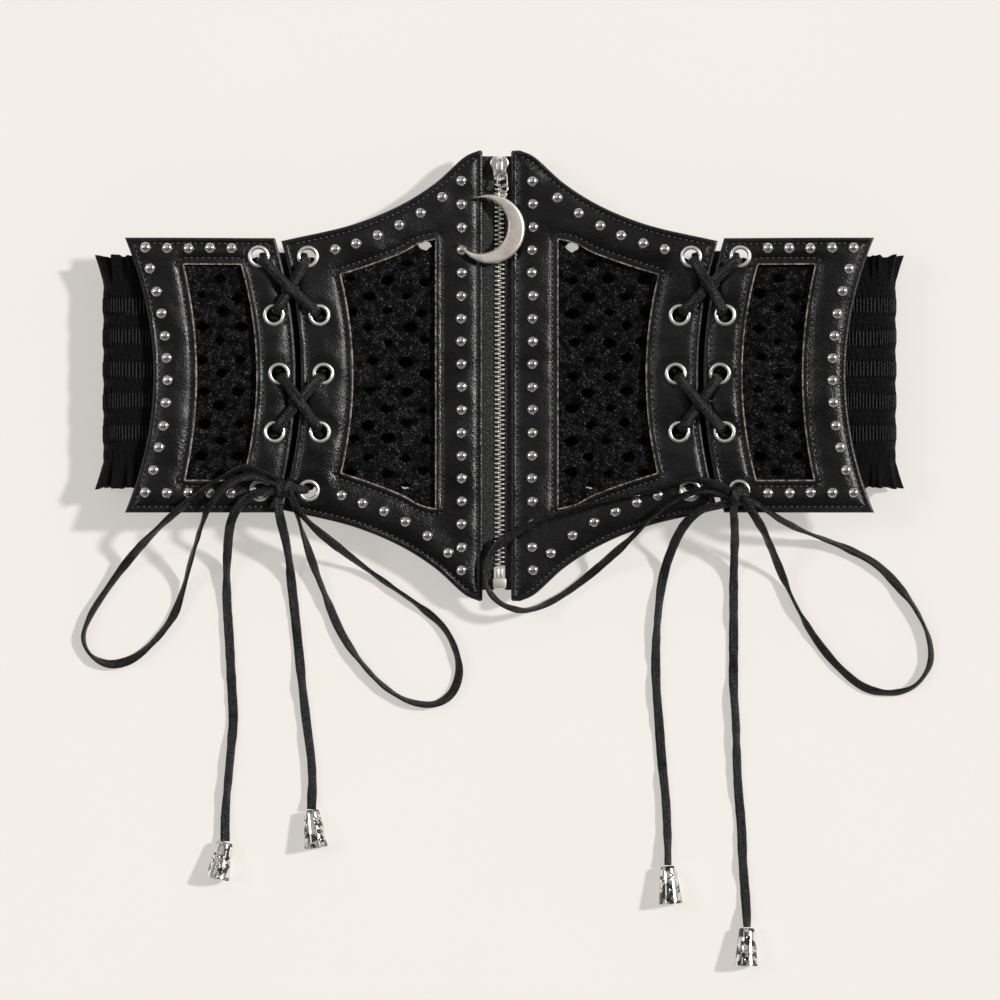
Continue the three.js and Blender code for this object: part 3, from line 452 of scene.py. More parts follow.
LOOSE_ROUTES = {
    "left_outer_loop": [
        (-98, -47.6, 23.8), (-104.5, -44.4, 23.8), (-113.4, -41.3, 24.6), (-125.3, -46.4, 25.6),
        (-138, -56, 27.2), (-145, -62, 27.2), (-153, -69, 22), (-160, -75.5, 13.5), (-167, -83, 5.5),
        (-176, -94.8, 1.5), (-184.5, -108.3, 1.5), (-187.4, -117.8, 1.5), (-184.5, -125, 1.5),
        (-176.2, -129.5, 1.5), (-166.3, -127.7, 1.5), (-156.8, -120.5, 1.5), (-147.2, -108.3, 1.6),
        (-142.6, -96.5, 2.6), (-139.5, -86, 8.5), (-136, -76, 17), (-132.5, -66.5, 25),
        (-128.9, -58, 28.2), (-120.8, -49, 28.6), (-110.9, -45.2, 27.6), (-99, -48.6, 26.4),
    ],
    "left_inner_loop": [
        (-93, -52.5, 23.4), (-91.5, -57.5, 23.4), (-90, -62.5, 23.4), (-88.4, -69, 19), (-86.4, -76, 12),
        (-84, -84, 5), (-79.5, -96, 1.7), (-71.3, -115.5, 1.5), (-61.4, -129.9, 1.5),
        (-50.6, -140.7, 1.5), (-39.8, -146.6, 1.5), (-29, -147.5, 1.5), (-21.8, -143, 1.5),
        (-18.2, -133.5, 1.5), (-20, -122.7, 1.5), (-25.4, -112.8, 1.5), (-36.2, -103.4, 1.5),
        (-48.4, -94.8, 1.7), (-58, -88, 3.2), (-66.5, -81.5, 9), (-74.5, -75, 17), (-82, -68.5, 23),
        (-87.5, -62.8, 25.6), (-91.3, -57, 26.2), (-94, -51.5, 26.2),
    ],
    "right_inner_loop": [
        (102.5, -52, 27.4), (99.2, -50, 27.4), (93, -47.8, 27.2), (86, -46.6, 26.4), (80.3, -47.6, 24.8),
        (68.6, -51.2, 21.4), (51.1, -55.2, 19), (33.5, -59.7, 17.2), (17.3, -65.6, 16.8),
        (5.6, -71.4, 15.4), (-3.4, -78.6, 15), (-6.5, -87.6, 14.9), (-4.7, -96.2, 14.8),
        (0.6, -102, 14.6), (9, -105, 13), (16, -104.4, 8.4), (23, -101.5, 3.8), (30.5, -97, 1.7),
        (38.5, -91, 2.4), (44.5, -86, 5.4), (50.5, -80.5, 11.4), (56, -75.5, 17), (62, -69.4, 20.4),
        (68.6, -63, 21.4), (78.5, -55.6, 22.8), (86, -52.4, 23.9), (93, -51.4, 24.6), (103, -53, 25.2),
    ],
    "right_outer_loop": [
        (109, -54.5, 24.6), (114.5, -57.4, 24.6), (120, -61, 24), (126, -64.8, 21.5), (133, -68.2, 16),
        (141, -71.5, 9.5), (149, -74.5, 4.2), (157, -77.8, 1.8), (169.4, -84.5, 1.5),
        (179.8, -94.8, 1.5), (188.3, -106.5, 1.5), (193.7, -119.6, 1.5), (193.7, -129.9, 1.5),
        (187, -139.4, 1.5), (176.6, -142.5, 1.5), (164.9, -140.3, 1.5), (153.2, -131.3, 1.5),
        (141.5, -116.9, 1.5), (133, -102, 1.6), (128.5, -92.5, 2.8), (125, -84.5, 7.5),
        (121.3, -76.5, 15), (117.5, -69, 22), (114, -63.4, 26.2), (110.9, -58.8, 27.6),
        (107.5, -54.5, 27.4),
    ],
    "left_outer_tail": [
        (-98.5, -51.6, 25.2), (-104.5, -51.9, 25.2), (-111, -53.6, 25.4), (-116.2, -58.5, 25.4),
        (-119.3, -64.5, 23.6), (-121, -71, 17), (-122, -78, 9.5), (-122.7, -86, 4),
        (-122.8, -101, 1.5), (-121.7, -119, 1.5), (-120.8, -137, 1.5), (-120, -154.7, 1.5),
        (-120.8, -166, 1.5), (-122.2, -181.7, 1.5), (-123.4, -196, 1.7), (-123.6, -203, 2.5),
        (-123.5, -209.2, 3.6),
    ],
    "left_inner_tail": [
        (-97.4, -52.5, 24), (-98.6, -57, 24), (-98, -62, 24), (-96.8, -68, 20.5),
        (-95.6, -74.5, 14), (-94.7, -82, 7), (-93.8, -92, 2.2), (-91.6, -112.8, 1.5),
        (-89.3, -134.9, 1.5), (-87.1, -154.7, 1.5), (-84.8, -172.7, 1.5), (-84.3, -183, 1.7),
        (-84.5, -189.5, 2.6), (-84.6, -194.8, 3.6),
    ],
    "right_inner_tail": [
        (103, -56.4, 24.2), (97.5, -58.2, 24.2), (91.5, -59.4, 23.6), (86.5, -62.4, 22.6),
        (82.5, -67, 19.4), (79.5, -72.5, 13.5), (77, -79, 7.5), (74.8, -86, 3.2), (72.7, -96.2, 1.5),
        (71.1, -111, 1.5), (70.4, -125.4, 1.5), (70.7, -140.3, 1.5), (71.8, -154.7, 1.5),
        (73.1, -172.7, 1.5), (74.9, -190.7, 1.5), (75.6, -205, 1.7), (75.8, -213.5, 2.6),
        (75.8, -220, 3.6),
    ],
    "right_outer_tail": [
        (105.5, -56.5, 24.6), (104.3, -60, 24.6), (104.6, -64.5, 23.8), (105.1, -70, 18.5),
        (105.4, -76, 12), (105.5, -82.5, 6), (105.5, -90, 2.4), (105.5, -118.2, 1.5),
        (105.5, -140.3, 1.5), (106.4, -154.7, 1.5), (107.3, -181.7, 1.5), (109.1, -204.2, 1.5),
        (109.6, -218.1, 1.5), (110.6, -231.6, 1.7), (111.2, -241, 2.6), (111.4, -247.9, 3.6),
    ],
}

# Metal cones on the free ends: which end each is on, where the lace goes in and where it points
CORD_ENDS = {
    "left_outer_tail": ("cord_end_1", (-123.5, -209.6), (-3.4, -16.6)),
    "left_inner_tail": ("cord_end_2", (-84.6, -195.2), (2.0, -15.7)),
    "right_inner_tail": ("cord_end_3", (75.8, -220.4), (1.2, -17.1)),
    "right_outer_tail": ("cord_end_4", (111.4, -248.3), (-0.5, -17.1)),
}
CONE_TOP = 3.5
CONE_END = 5.25
CONE_LENGTH = 17.0
CONE_WALL = 0.85
CONE_CAP = 5.0
CONE_SIDES = 64
CONE_CLEARANCE = 0.3
CONE_HOLE = 1.9


def lace_look():
    look = Look("waxed_lace", (0.006, 0.006, 0.007), 0.38, Specular_IOR_Level=0.2)
    along, across, _ = look.split(look.flat)
    strands = look.wave(look.math("ADD", along, look.slant(across, "MODULO", 4.4)), 1.1)
    braid = look.times(strands, look.wave(across, 0.9))
    wax = look.between(look.noise(0.35, 3), 0.4, 0.65)
    fuzz_and_sparkle = look.noise(3, 3, 0.7)
    look.bump(braid, 0.9, 0.1)
    look.bump(fuzz_and_sparkle, 0.6, 0.12)
    # Darker in the grooves between strands and lighter on their crests: painted shade.
    shade = look.mix(look.between(braid, -1, 1), (0.0006, 0.0006, 0.0008), (0.004, 0.004, 0.005))
    # Pale grey flecks where the fuzz noise peaks: painted sparkle highlights.
    shade = look.mix(look.between(fuzz_and_sparkle, 0.56, 0.64), shade, (0.085, 0.085, 0.092))
    return look.finish(shade, look.between(wax, 0, 1, 0.24, 0.42))


LACE = lace_look()


def lace_route(name):
    """The route of a loose end, at rest on the floor where it is low, with the roll at each point."""
    path = smooth_path(LOOSE_ROUTES[name], LACE_STEP)
    run = np.arange(len(path)) * LACE_STEP
    seed = sorted(LOOSE_ROUTES).index(name) + 3
    lean = TAIL_LEAN if name in CORD_ENDS else LOOP_LEAN
    roll = lean + ripple(run, seed, 90, 0.6) + ripple(run, seed + 20, 34, 0.3)
    upright = np.abs(LACE_THICKNESS / 2 * np.cos(roll))
    reach = upright + np.abs(LOOSE_WIDTH / 2 * np.sin(roll)) + LACE_CLEARANCE
    low = np.clip(1 - (path[:, 2] - FLOOR_LACE) / 3, 0, 1)
    path[:, 2] += low * (reach - FLOOR_LACE)
    return path, roll


def loose_lace(name):
    path, roll = lace_route(name)
    across, up = rolled(*directions_across(path), roll)
    run = np.arange(len(path)) * LACE_STEP
    widths = 1 - 0.08 * np.abs(ripple(run, len(name), 25, 1.0))
    section = rounded_section(LOOSE_WIDTH, LACE_THICKNESS, LACE_SIDES, 2.6)
    points, faces, uv = tube(path, across, up, widened(section, widths))
    piece = add_piece(f"{name}_braid", points, faces, LACE, "lace", [name], uv)
    return piece, path


def cone_axis(toward):
    flat = unit(np.array(toward)) * CONE_LENGTH
    return unit(np.array([flat[0], flat[1], CONE_END - CONE_TOP]))


def chrome_look():
    look = Look("dimpled_chrome", (0.83, 0.82, 0.80), 0.12, 1.0)
    dimples = look.cells(0.33)
    small = look.cells(0.62, vector=look.scaled(look.place, (1, 1, 1), (3, 7, 5)))
    bowls = look.between(dimples, 0.0, 0.42)
    hollow_shade = look.between(dimples, 0.16, 0.3)
    tarnish_and_dark_reflection = look.between(look.noise(0.28, 2), 0.5, 0.56)
    pits = look.between(small, 0.0, 0.26)
    look.bump(look.times(bowls, bowls), 1.0, 0.55)
    look.bump(look.times(pits, pits), 0.8, 0.25)
    scratch = look.noise(2.5, 5, 0.7)
    look.bump(scratch, 0.12, 0.02)
    # Broad near-black patches on the chrome: painted dark reflections.
    shade = look.mix(tarnish_and_dark_reflection, (0.86, 0.84, 0.80), (0.10, 0.095, 0.09))
    # Near-black in the middle of each dimple: painted shade in the hollows.
    shade = look.mix(hollow_shade, (0.03, 0.028, 0.027), shade)
    return look.finish(shade, look.between(scratch, 0.3, 0.7, 0.08, 0.24))


CHROME = chrome_look()


def cord_end(node, mouth, toward):
    flare = CONE_END - CONE_TOP
    inner = CONE_TOP - CONE_WALL + flare * CONE_CAP / CONE_LENGTH
    outer = [(CONE_TOP - 1.1, 0.0), (CONE_TOP - 0.35, 0.12), (CONE_TOP, 0.6)]
    outer += [(CONE_TOP + flare * share, CONE_LENGTH * share) for share in np.linspace(0.06, 0.965, 26)]
    outer += [(CONE_END, CONE_LENGTH - 0.35), (CONE_END - 0.3, CONE_LENGTH)]
    lip = [(CONE_END - CONE_WALL + 0.1, CONE_LENGTH), (CONE_END - CONE_WALL - 0.05, CONE_LENGTH - 0.4)]
    profile = [(CONE_HOLE, 0.5), (CONE_HOLE, 0.0)] + outer + lip + [(inner, CONE_CAP), (0.001, CONE_CAP)]
    place = (*mouth, CONE_TOP + CONE_CLEARANCE)
    points, faces = turned(profile, CONE_SIDES, place, cone_axis(toward))
    return add_piece(f"{node}_cone", points, faces, CHROME, "cord_end_metal", [node])


for route_name in LOOSE_ROUTES:
    lace_piece, lace_path = loose_lace(route_name)
    carried = []
    if route_name in CORD_ENDS:
        carried = [cord_end(*CORD_ENDS[route_name])]


# Outlines of the leather, as seen from above on the right side
LACED_WAIST = 88.7
LACED_FLARE = 8.8
LACED_REACH = 60.0
LACING_GAP = 2.4
SIDE_REACH = 61.3
SIDE_WAIST_WIDTH = 63.2
SIDE_END_WIDTH = 67.1
TIP_REACH = 101.0
TIP_ACROSS = 9.2
ZIP_EDGES = {"left": 7.6, "right": 5.2}
SIGNS = {"left": -1, "right": 1}
TIP_CURVE = [(0, 0), (0.066, 0.061), (0.224, 0.361), (0.394, 0.595), (0.632, 0.81), (1, 1)]
WINDOW_CURVE = [(0, 0), (0.17, 0.12), (0.34, 0.37), (0.7, 0.74), (1, 1)]
CENTER_WINDOW = {"inset": 21.2, "length": 39.0, "flare": 5.5, "upper": 61.0, "lower": 59.5, "fall": 16.0}
SIDE_WINDOW = {
    "start": LACED_WAIST + LACING_GAP + 17.3, "inner_flare": 7.0, "length": 26.5,
    "outer_flare": 5.8, "upper": 49.3, "lower": 46.7,
}
EYELET_ROWS = 5
EYELET_PITCH = 26.1
EYELET_TOP = 53.0
CENTER_EYELET_INSET = 10.0
SIDE_EYELET_INSET = 7.3
SIDE_EYELET_FLARE = 2.2
OUTLINE_STEP = 0.9
KEPT_SHARE = 0.97
POINT_BLOCK = 2000


def bow(waist, flare, reach, y):
    return waist + flare * (y / reach) ** 2


def laced_edge(y):
    return bow(LACED_WAIST, LACED_FLARE, LACED_REACH, y)


def side_inner_edge(y):
    return laced_edge(y) + LACING_GAP


def side_outer_edge(y):
    start = LACED_WAIST + LACING_GAP + SIDE_WAIST_WIDTH
    return bow(start, LACED_FLARE + SIDE_END_WIDTH - SIDE_WAIST_WIDTH, SIDE_REACH, y)


def center_eyelet_x(y):
    return laced_edge(y) - CENTER_EYELET_INSET


def side_eyelet_x(y):
    return bow(side_inner_edge(y) + SIDE_EYELET_INSET, SIDE_EYELET_FLARE, EYELET_TOP, y)


def eyelet_y(row):
    return EYELET_TOP - row * EYELET_PITCH


def edge_line(edge, start, end):
    y = np.linspace(start, end, max(3, int(abs(end - start) / OUTLINE_STEP)))
    return np.stack([edge(y), y], axis=1)


def straight(start, end):
    return evenly(np.array([start, end]), OUTLINE_STEP)


def curve_between(table, start, end):
    start, end = np.asarray(start, float), np.asarray(end, float)
    points = [start + (end - start) * np.array(row) for row in table]
    return smooth_path(points, OUTLINE_STEP)


def flipped(line):
    return (line * [1, -1])[::-1]


def joined(*lines):
    """One closed loop from lines that meet end to end, without doubled points."""
    loop = np.vstack(lines)
    far = np.linalg.norm(loop - np.roll(loop, 1, axis=0), axis=1) > 0.05
    return loop[far]


def upper_edge():
    """The upper edge of a centre panel, from its tip by the zip to its laced side."""
    return curve_between(TIP_CURVE, (TIP_ACROSS, TIP_REACH), (LACED_WAIST + LACED_FLARE, LACED_REACH))


def center_outline(zip_edge):
    upper = upper_edge()
    laced = edge_line(laced_edge, LACED_REACH, -LACED_REACH)
    zip_line = evenly(np.array([
        (zip_edge + 0.5, -TIP_REACH + 0.1), (zip_edge, -TIP_REACH + 0.8),
        (zip_edge, TIP_REACH - 0.8), (zip_edge + 0.5, TIP_REACH - 0.1),
    ]), OUTLINE_STEP)
    return joined(upper, laced, flipped(upper), zip_line)


def center_window(zip_edge, grow=0.0):
    window = CENTER_WINDOW
    inner = zip_edge + window["inset"] - grow
    waist = ZIP_EDGES["right"] + window["inset"] + window["length"] + grow
    flare_reach = window["upper"] - window["fall"]

    def outer(y):
        return bow(waist, window["flare"], flare_reach, y)

    def half(reach):
        corner = reach - window["fall"] + grow
        return curve_between(WINDOW_CURVE, (inner, reach + grow), (outer(corner), corner))

    upper, lower = half(window["upper"]), flipped(half(window["lower"]))
    laced = edge_line(outer, upper[-1, 1], lower[0, 1])
    return joined(upper, laced, lower, straight(lower[-1], upper[0]))


def between_edges(inner, outer, low, high):
    """A closed outline of two edges, from low to high, with straight lines between their ends."""
    inward, outward = edge_line(inner, low, high), edge_line(outer, high, low)
    return joined(inward, straight(inward[-1], outward[0]), outward, straight(outward[-1], inward[0]))


def side_outline():
    return between_edges(side_inner_edge, side_outer_edge, -SIDE_REACH, SIDE_REACH)


def side_window(grow=0.0):
    window = SIDE_WINDOW

    def inner(y):
        return bow(window["start"] - grow, window["inner_flare"], window["upper"], y)

    def outer(y):
        return bow(window["start"] + window["length"] + grow, window["outer_flare"], window["upper"], y)

    return between_edges(inner, outer, -(window["lower"] + grow), window["upper"] + grow)


def circle(x, y, radius, sides):
    turn = full_turn(sides)
    return np.stack([x + radius * np.cos(turn), y + radius * np.sin(turn)], axis=1)


def area_of(loop):
    after = np.roll(loop, -1, axis=0)
    return float((loop[:, 0] * after[:, 1] - after[:, 0] * loop[:, 1]).sum() / 2)


def normals_of(loop):
    """Unit normals of a closed loop, pointing to its inside."""
    tangent = closed_tangent(loop)
    turn = 1 if area_of(loop) > 0 else -1
    return np.stack([-tangent[:, 1], tangent[:, 0]], axis=1) * turn


def distance_to(points, loops):
    """Distance from each point to the nearest edge of the loops, worked out in blocks of points."""
    best = np.full(len(points), np.inf)
    for loop in loops:
        a, b = loop, np.roll(loop, -1, axis=0)
        run = b - a
        size = np.maximum((run ** 2).sum(axis=1), 1e-12)
        for start in range(0, len(points), POINT_BLOCK):
            block = slice(start, start + POINT_BLOCK)
            part = points[block]
            share = ((part[:, None] - a) * run).sum(axis=2) / size
            gap = part[:, None] - (a + np.clip(share, 0, 1)[..., None] * run)
            best[block] = np.minimum(best[block], np.sqrt((gap ** 2).sum(axis=2)).min(axis=1))
    return best


def distance_to_nearest(points, centres):
    return np.linalg.norm(points[:, None] - centres, axis=2).min(axis=1)


def inside(points, loop):
    a, b = loop, np.roll(loop, 1, axis=0)
    x, y = points[:, 0][:, None], points[:, 1][:, None]
    spans = (a[:, 1] > y) != (b[:, 1] > y)
    with np.errstate(divide="ignore", invalid="ignore"):
        cross = (b[:, 0] - a[:, 0]) * (y - a[:, 1]) / (b[:, 1] - a[:, 1]) + a[:, 0]
    return (spans & (x < cross)).sum(axis=1) % 2 == 1


def inset_line(loop, offset, loops):
    """Points at an offset from a loop, positive to its inside, that keep that distance from all loops."""
    line = loop + normals_of(loop) * offset
    return line[distance_to(line, loops) > abs(offset) * KEPT_SHARE]


def triangulate(loops, extra):
    """Triangles over the area inside the first loop and outside the others, with extra points inside it."""
    points = []
    edges = []
    for loop in loops:
        start = len(points)
        points.extend([Vector(p) for p in loop])
        count = len(loop)
        edges.extend([(start + k, start + (k + 1) % count) for k in range(count)])
    points.extend([Vector(p) for p in extra])
    made, _, faces, _, _, _ = delaunay_2d_cdt(points, edges, [], 0, 1e-5)
    made = np.array([tuple(p) for p in made])
    faces = np.array([face for face in faces if len(face) == 3])
    middle = made[faces].mean(axis=1)
    keep = inside(middle, loops[0])
    for hole in loops[1:]:
        keep &= ~inside(middle, hole)
    faces = faces[keep]
    a, b, c = made[faces[:, 0]], made[faces[:, 1]], made[faces[:, 2]]
    turn = (b[:, 0] - a[:, 0]) * (c[:, 1] - a[:, 1]) - (b[:, 1] - a[:, 1]) * (c[:, 0] - a[:, 0])
    faces[turn < 0] = faces[turn < 0][:, ::-1]
    return made, faces


def two_sides(faces, count):
    """The faces of an upper side of so many points, and of the lower side whose points follow."""
    return [tuple(face) for face in faces] + [tuple(face[::-1] + count) for face in faces]


def rim_edges(faces):
    """Edges that only one face has, as that face runs along them."""
    pairs = np.vstack([faces[:, [0, 1]], faces[:, [1, 2]], faces[:, [2, 0]]])
    back = {(int(b), int(a)) for a, b in pairs}
    return [(int(a), int(b)) for a, b in pairs if (int(a), int(b)) not in back]


def grid_over(loop, step):
    low, high = loop.min(axis=0), loop.max(axis=0)
    xs, ys = np.arange(low[0], high[0], step), np.arange(low[1], high[1], step * 0.866)
    x, y = np.meshgrid(xs, ys)
    x = x + (np.arange(len(ys)) % 2)[:, None] * step / 2
    return np.stack([x.ravel(), y.ravel()], axis=1)


# Leather
EDGE_ROUND = 1.0
STITCH_INSET = 2.6
SWELL_RUN = 7.5
SWELL = 0.5
WINDOW_STITCH = 2.9
STITCH_PITCH = 2.6
STITCH_LENGTH = 1.75
STITCH_SECTION = (0.8, 0.5, 8, 2)
STITCH_ARCH = 0.22
STITCH_SINK = 0.02
STITCH_RINGS = 7
PITCH_PARTS = 8
PRICK_LIFT = 0.06
PRICK_PROFILE = [(0.52, -0.12), (0.46, 0.0), (0.01, 0.02)]
EYELET_BARREL = 3.65
EYELET_CLEARANCE = 0.4
EYELET_PRESS = 5.2
BORE_POINTS = 28
FOLD_DROP = 0.85
GROOVE_DEPTH = 0.42
GROOVE_WIDTH = 0.5
FIELD_LIFT = 0.3
WINDOW_DROP = 0.12
EDGE_RINGS = (0.22, 0.5, 0.95, 1.6, 2.15, 2.6, 3.05)
WINDOW_RINGS = (0.35, 0.8, 1.6, 2.45, 2.9, 3.35)
LEATHER_GRID = 1.5

# Unevenness of the leather: length and height of each set of waves
WRINKLES = ((70, 0.45), (31, 0.32), (17, 0.18), (9, 0.08))
WAVES_IN_A_SET = 3

# Free space that the inner points of the leather keep from its edge, its window and its eyelet holes
GRID_FROM_EDGE = 3.7
GRID_FROM_WINDOW = 4.0
GRID_FROM_BORE = 0.5


def leather_look():
    look = Look("grained_leather", (0.02, 0.02, 0.022), 0.45, Specular_IOR_Level=0.36)
    grain = look.cells(1.6, "SMOOTH_F1")
    fine = look.noise(3, 3)
    look.bump(look.noise(0.12, 2), 0.6, 0.8)
    look.bump(look.noise(0.8, 2), 0.6, 0.12)
    look.bump(grain, 0.8, 0.16)
    look.bump(fine, 0.5, 0.06)
    patches = look.between(look.noise(0.035, 3), 0.35, 0.65)
    base = look.mix(patches, (0.0010, 0.0010, 0.0016), (0.0030, 0.0030, 0.0040))
    # Lighter grey in broken patches along the folded edge: painted highlight of the rolled edge.
    edge_highlight = look.times(look.mark("edge"), look.between(look.noise(0.6, 4, 0.7), 0.35, 0.6))
    base = look.mix(look.times(edge_highlight, 0.8), base, (0.10, 0.097, 0.095))
    threads = look.between(look.noise(0.5, 4, 0.7), 0.42, 0.62)
    frayed = look.mix(threads, (0.05, 0.042, 0.037), (0.52, 0.46, 0.40))
    shade = look.mix(look.mark("raw"), base, frayed)
    gloss = look.between(look.noise(0.04, 3), 0.35, 0.65, 0.29, 0.4)
    return look.finish(shade, look.math("ADD", gloss, look.times(look.mark("raw"), 0.35)))


def thread_look():
    look = Look("stitching_thread", (0.012, 0.012, 0.013), 0.36)
    twist = look.node("ShaderNodeTexWave", {"Vector": look.place, "Scale": 0.9, "Distortion": 0.4})
    look.bump(twist, 0.6, 0.06)
    # Lighter on the twist's ridges and darker between them: painted highlight and shade.
    shade = look.mix(twist, (0.010, 0.010, 0.011), (0.045, 0.044, 0.046))
    return look.finish(shade)


# Dark discs between the stitches: painted shade of the needle holes.
def hole_shade_look():
    look = Look("needle_hole_shade", (0.0008, 0.0008, 0.001), 0.9, Specular_IOR_Level=0.05)
    shade = look.mix(look.noise(2.0, 2), (0.0004, 0.0004, 0.0005), (0.0015, 0.0015, 0.002))
    look.bump(look.noise(4, 2), 0.5, 0.05)
    return look.finish(shade)


def metal_look(name, color, low, high, scratch_scale=1.8, depth=0.015):
    look = Look(name, color, low, 1.0)
    scratch = look.noise(scratch_scale, 5, 0.7)
    tarnish_and_dark_reflection = look.between(look.noise(0.25, 4, 0.6), 0.45, 0.75)
    look.bump(scratch, 0.2, depth)
    shade = look.mix(tarnish_and_dark_reflection, color, shaded(color, 0.72))
    return look.finish(shade, look.between(scratch, 0.3, 0.7, low, high))


LEATHER = leather_look()
THREAD = thread_look()
HOLE_SHADE = hole_shade_look()
NICKEL = metal_look("nickel", (0.95, 0.93, 0.90), 0.3, 0.42)
SILVER = metal_look("polished_studs", (0.95, 0.905, 0.85), 0.1, 0.18)


def wrinkles(points, seed):
    """Low unevenness of the leather, in millimetres."""
    random = np.random.default_rng(seed)
    total = np.zeros(len(points))
    for wave, height in WRINKLES:
        for _ in range(WAVES_IN_A_SET):
            turn = random.uniform(0, 2 * math.pi)
            phase = random.uniform(0, 2 * math.pi)
            along = points[:, 0] * math.cos(turn) + points[:, 1] * math.sin(turn)
            total += height / WAVES_IN_A_SET * np.sin(along / wave * 2 * math.pi + phase)
    return total


def leather_height(points, outer, window, dimples, seed):
    """Height of the upper side over the underside, with the distances to the folded edge and the window."""
    to_edge, to_window = distance_to(points, [outer]), distance_to(points, [window])
    folded = np.clip(1 - to_edge / EDGE_ROUND, 0, 1)
    height = LEATHER_TOP - FOLD_DROP * (1 - np.sqrt(1 - folded ** 2 * 0.999))
    for distance, line in ((to_edge, STITCH_INSET), (to_window, WINDOW_STITCH)):
        height -= GROOVE_DEPTH * np.exp(-((distance - line) / GROOVE_WIDTH) ** 2)
    soft = np.clip(np.minimum(to_edge - STITCH_INSET, to_window - WINDOW_STITCH) / SWELL_RUN, 0, 1)
    pressed = np.clip((distance_to_nearest(points, dimples) - EYELET_PRESS) / 4, 0, 1)
    height += soft * (2 - soft) * (FIELD_LIFT + SWELL * smooth_step(pressed))
    height -= WINDOW_DROP * np.clip(1 - to_window / 0.8, 0, 1)
    return height + wrinkles(points, seed) * np.clip(to_edge / 3, 0.35, 1), to_edge, to_window


def leather_panel(name, outline, window, holes, sign, seed):
    """A leather frame round its window. Returns its two outlines and the middles of its eyelet holes."""
    loops = [loop * [sign, 1] for loop in (outline, window, *holes)]
    outer, opening, *bores = loops
    rings = [inset_line(outer, offset, loops) for offset in EDGE_RINGS]
    rings += [inset_line(opening, -offset, loops) for offset in WINDOW_RINGS]
    grid = grid_over(outer, LEATHER_GRID)
    grid = grid[inside(grid, outer) & ~inside(grid, opening)]
    for edges, free in (([outer], GRID_FROM_EDGE), ([opening], GRID_FROM_WINDOW), (bores, GRID_FROM_BORE)):
        grid = grid[distance_to(grid, edges) > free]
    extra = np.vstack([*rings, grid])
    bore_centres = np.array([bore.mean(axis=0) for bore in bores])
    clear = distance_to_nearest(extra, bore_centres) > EYELET_BARREL + EYELET_CLEARANCE
    flat, faces = triangulate(loops, extra[clear])
    height, to_edge, to_window = leather_height(flat, outer, opening, bore_centres, seed)
    level = front_height(flat[:, 0])
    top = np.column_stack([flat, level + height])
    under = np.clip(1 - to_edge / EDGE_ROUND, 0, 1)
    bottom = np.column_stack([flat, level + 0.02 + 0.55 * under ** 2])
    count = len(flat)
    all_faces = two_sides(faces, count)
    points = [top, bottom]
    # Nearness to the folded edge, which places the painted edge highlight.
    edge = list(np.clip(1 - to_edge / 0.7, 0, 1)) * 2
    raw = list(np.clip(1.25 - to_window / 0.5, 0, 1)) * 2
    extra_count = 2 * count
    for a, b in rim_edges(faces):
        if to_window[a] > 0.01:
            all_faces.append((b, a, a + count, b + count))
            continue
        points.append(np.array([top[b], top[a], bottom[a], bottom[b]]))
        all_faces.append(tuple(range(extra_count, extra_count + 4)))
        edge += [0.0] * 4
        raw += [1.0, 1.0, 0.8, 0.8]
        extra_count += 4
    add_piece(
        f"{name}_leather", np.vstack(points), all_faces, LEATHER, "leather", [name],
        marks={"edge": edge, "raw": raw},
    )
    return outer, opening, bore_centres


def stitch_run(heap, pricks, loop, offset, heights, seed):
    """Separate stitches along a line beside a loop, each sunk at both ends."""
    line = loop + normals_of(loop) * offset
    clear = distance_to(line, [loop]) > abs(offset) * KEPT_SHARE
    starts = np.flatnonzero(clear & ~np.roll(clear, 1))
    runs = [np.arange(len(line))] if clear.all() else []
    for start in starts:
        size = 0
        while clear[(start + size) % len(line)] and size < len(line):
            size += 1
        runs.append(np.arange(start, start + size) % len(line))
    random = np.random.default_rng(seed)
    shares = np.linspace(-1, 1, STITCH_RINGS)
    swell = np.sqrt(np.clip(1 - shares ** 4, 0.05, 1))
    section = rounded_section(*STITCH_SECTION)[None] * swell[:, None, None]
    for run in runs:
        if len(run) < 4:
            continue
        path = evenly(line[run], STITCH_PITCH / PITCH_PARTS)
        for start in range(PITCH_PARTS // 2, len(path) - PITCH_PARTS, PITCH_PARTS):
            middle = path[start]
            along = unit(path[min(start + 3, len(path) - 1)] - path[start - 3])
            turn = random.normal(0, 0.05)
            along = np.array([along[0] - along[1] * turn, along[1] + along[0] * turn])
            flat = middle + along * (shares * STITCH_LENGTH / 2)[:, None]
            place = np.column_stack([flat, heights(flat) + STITCH_ARCH * (1 - shares ** 2) - STITCH_SINK])
            side = np.repeat([[along[1], -along[0], 0]], STITCH_RINGS, axis=0)
            up = np.repeat([[0, 0, 1.0]], STITCH_RINGS, axis=0)
            heap.add(*tube(place, side, up, section))
            # A dark disc at each needle hole: painted shade, not a hole.
            prick = middle + along * STITCH_PITCH / 2
            level = float(heights(prick[None])[0]) + PRICK_LIFT
            pricks.add(*turned(PRICK_PROFILE, 8, (*prick, level)))


def front_surface(outer, opening, dimples, seed):
    """A function that gives the height of the leather's upper side over the floor."""
    def heights(flat):
        height, _, _ = leather_height(flat, outer, opening, dimples, seed)
        return height + front_height(flat[:, 0])
    return heights


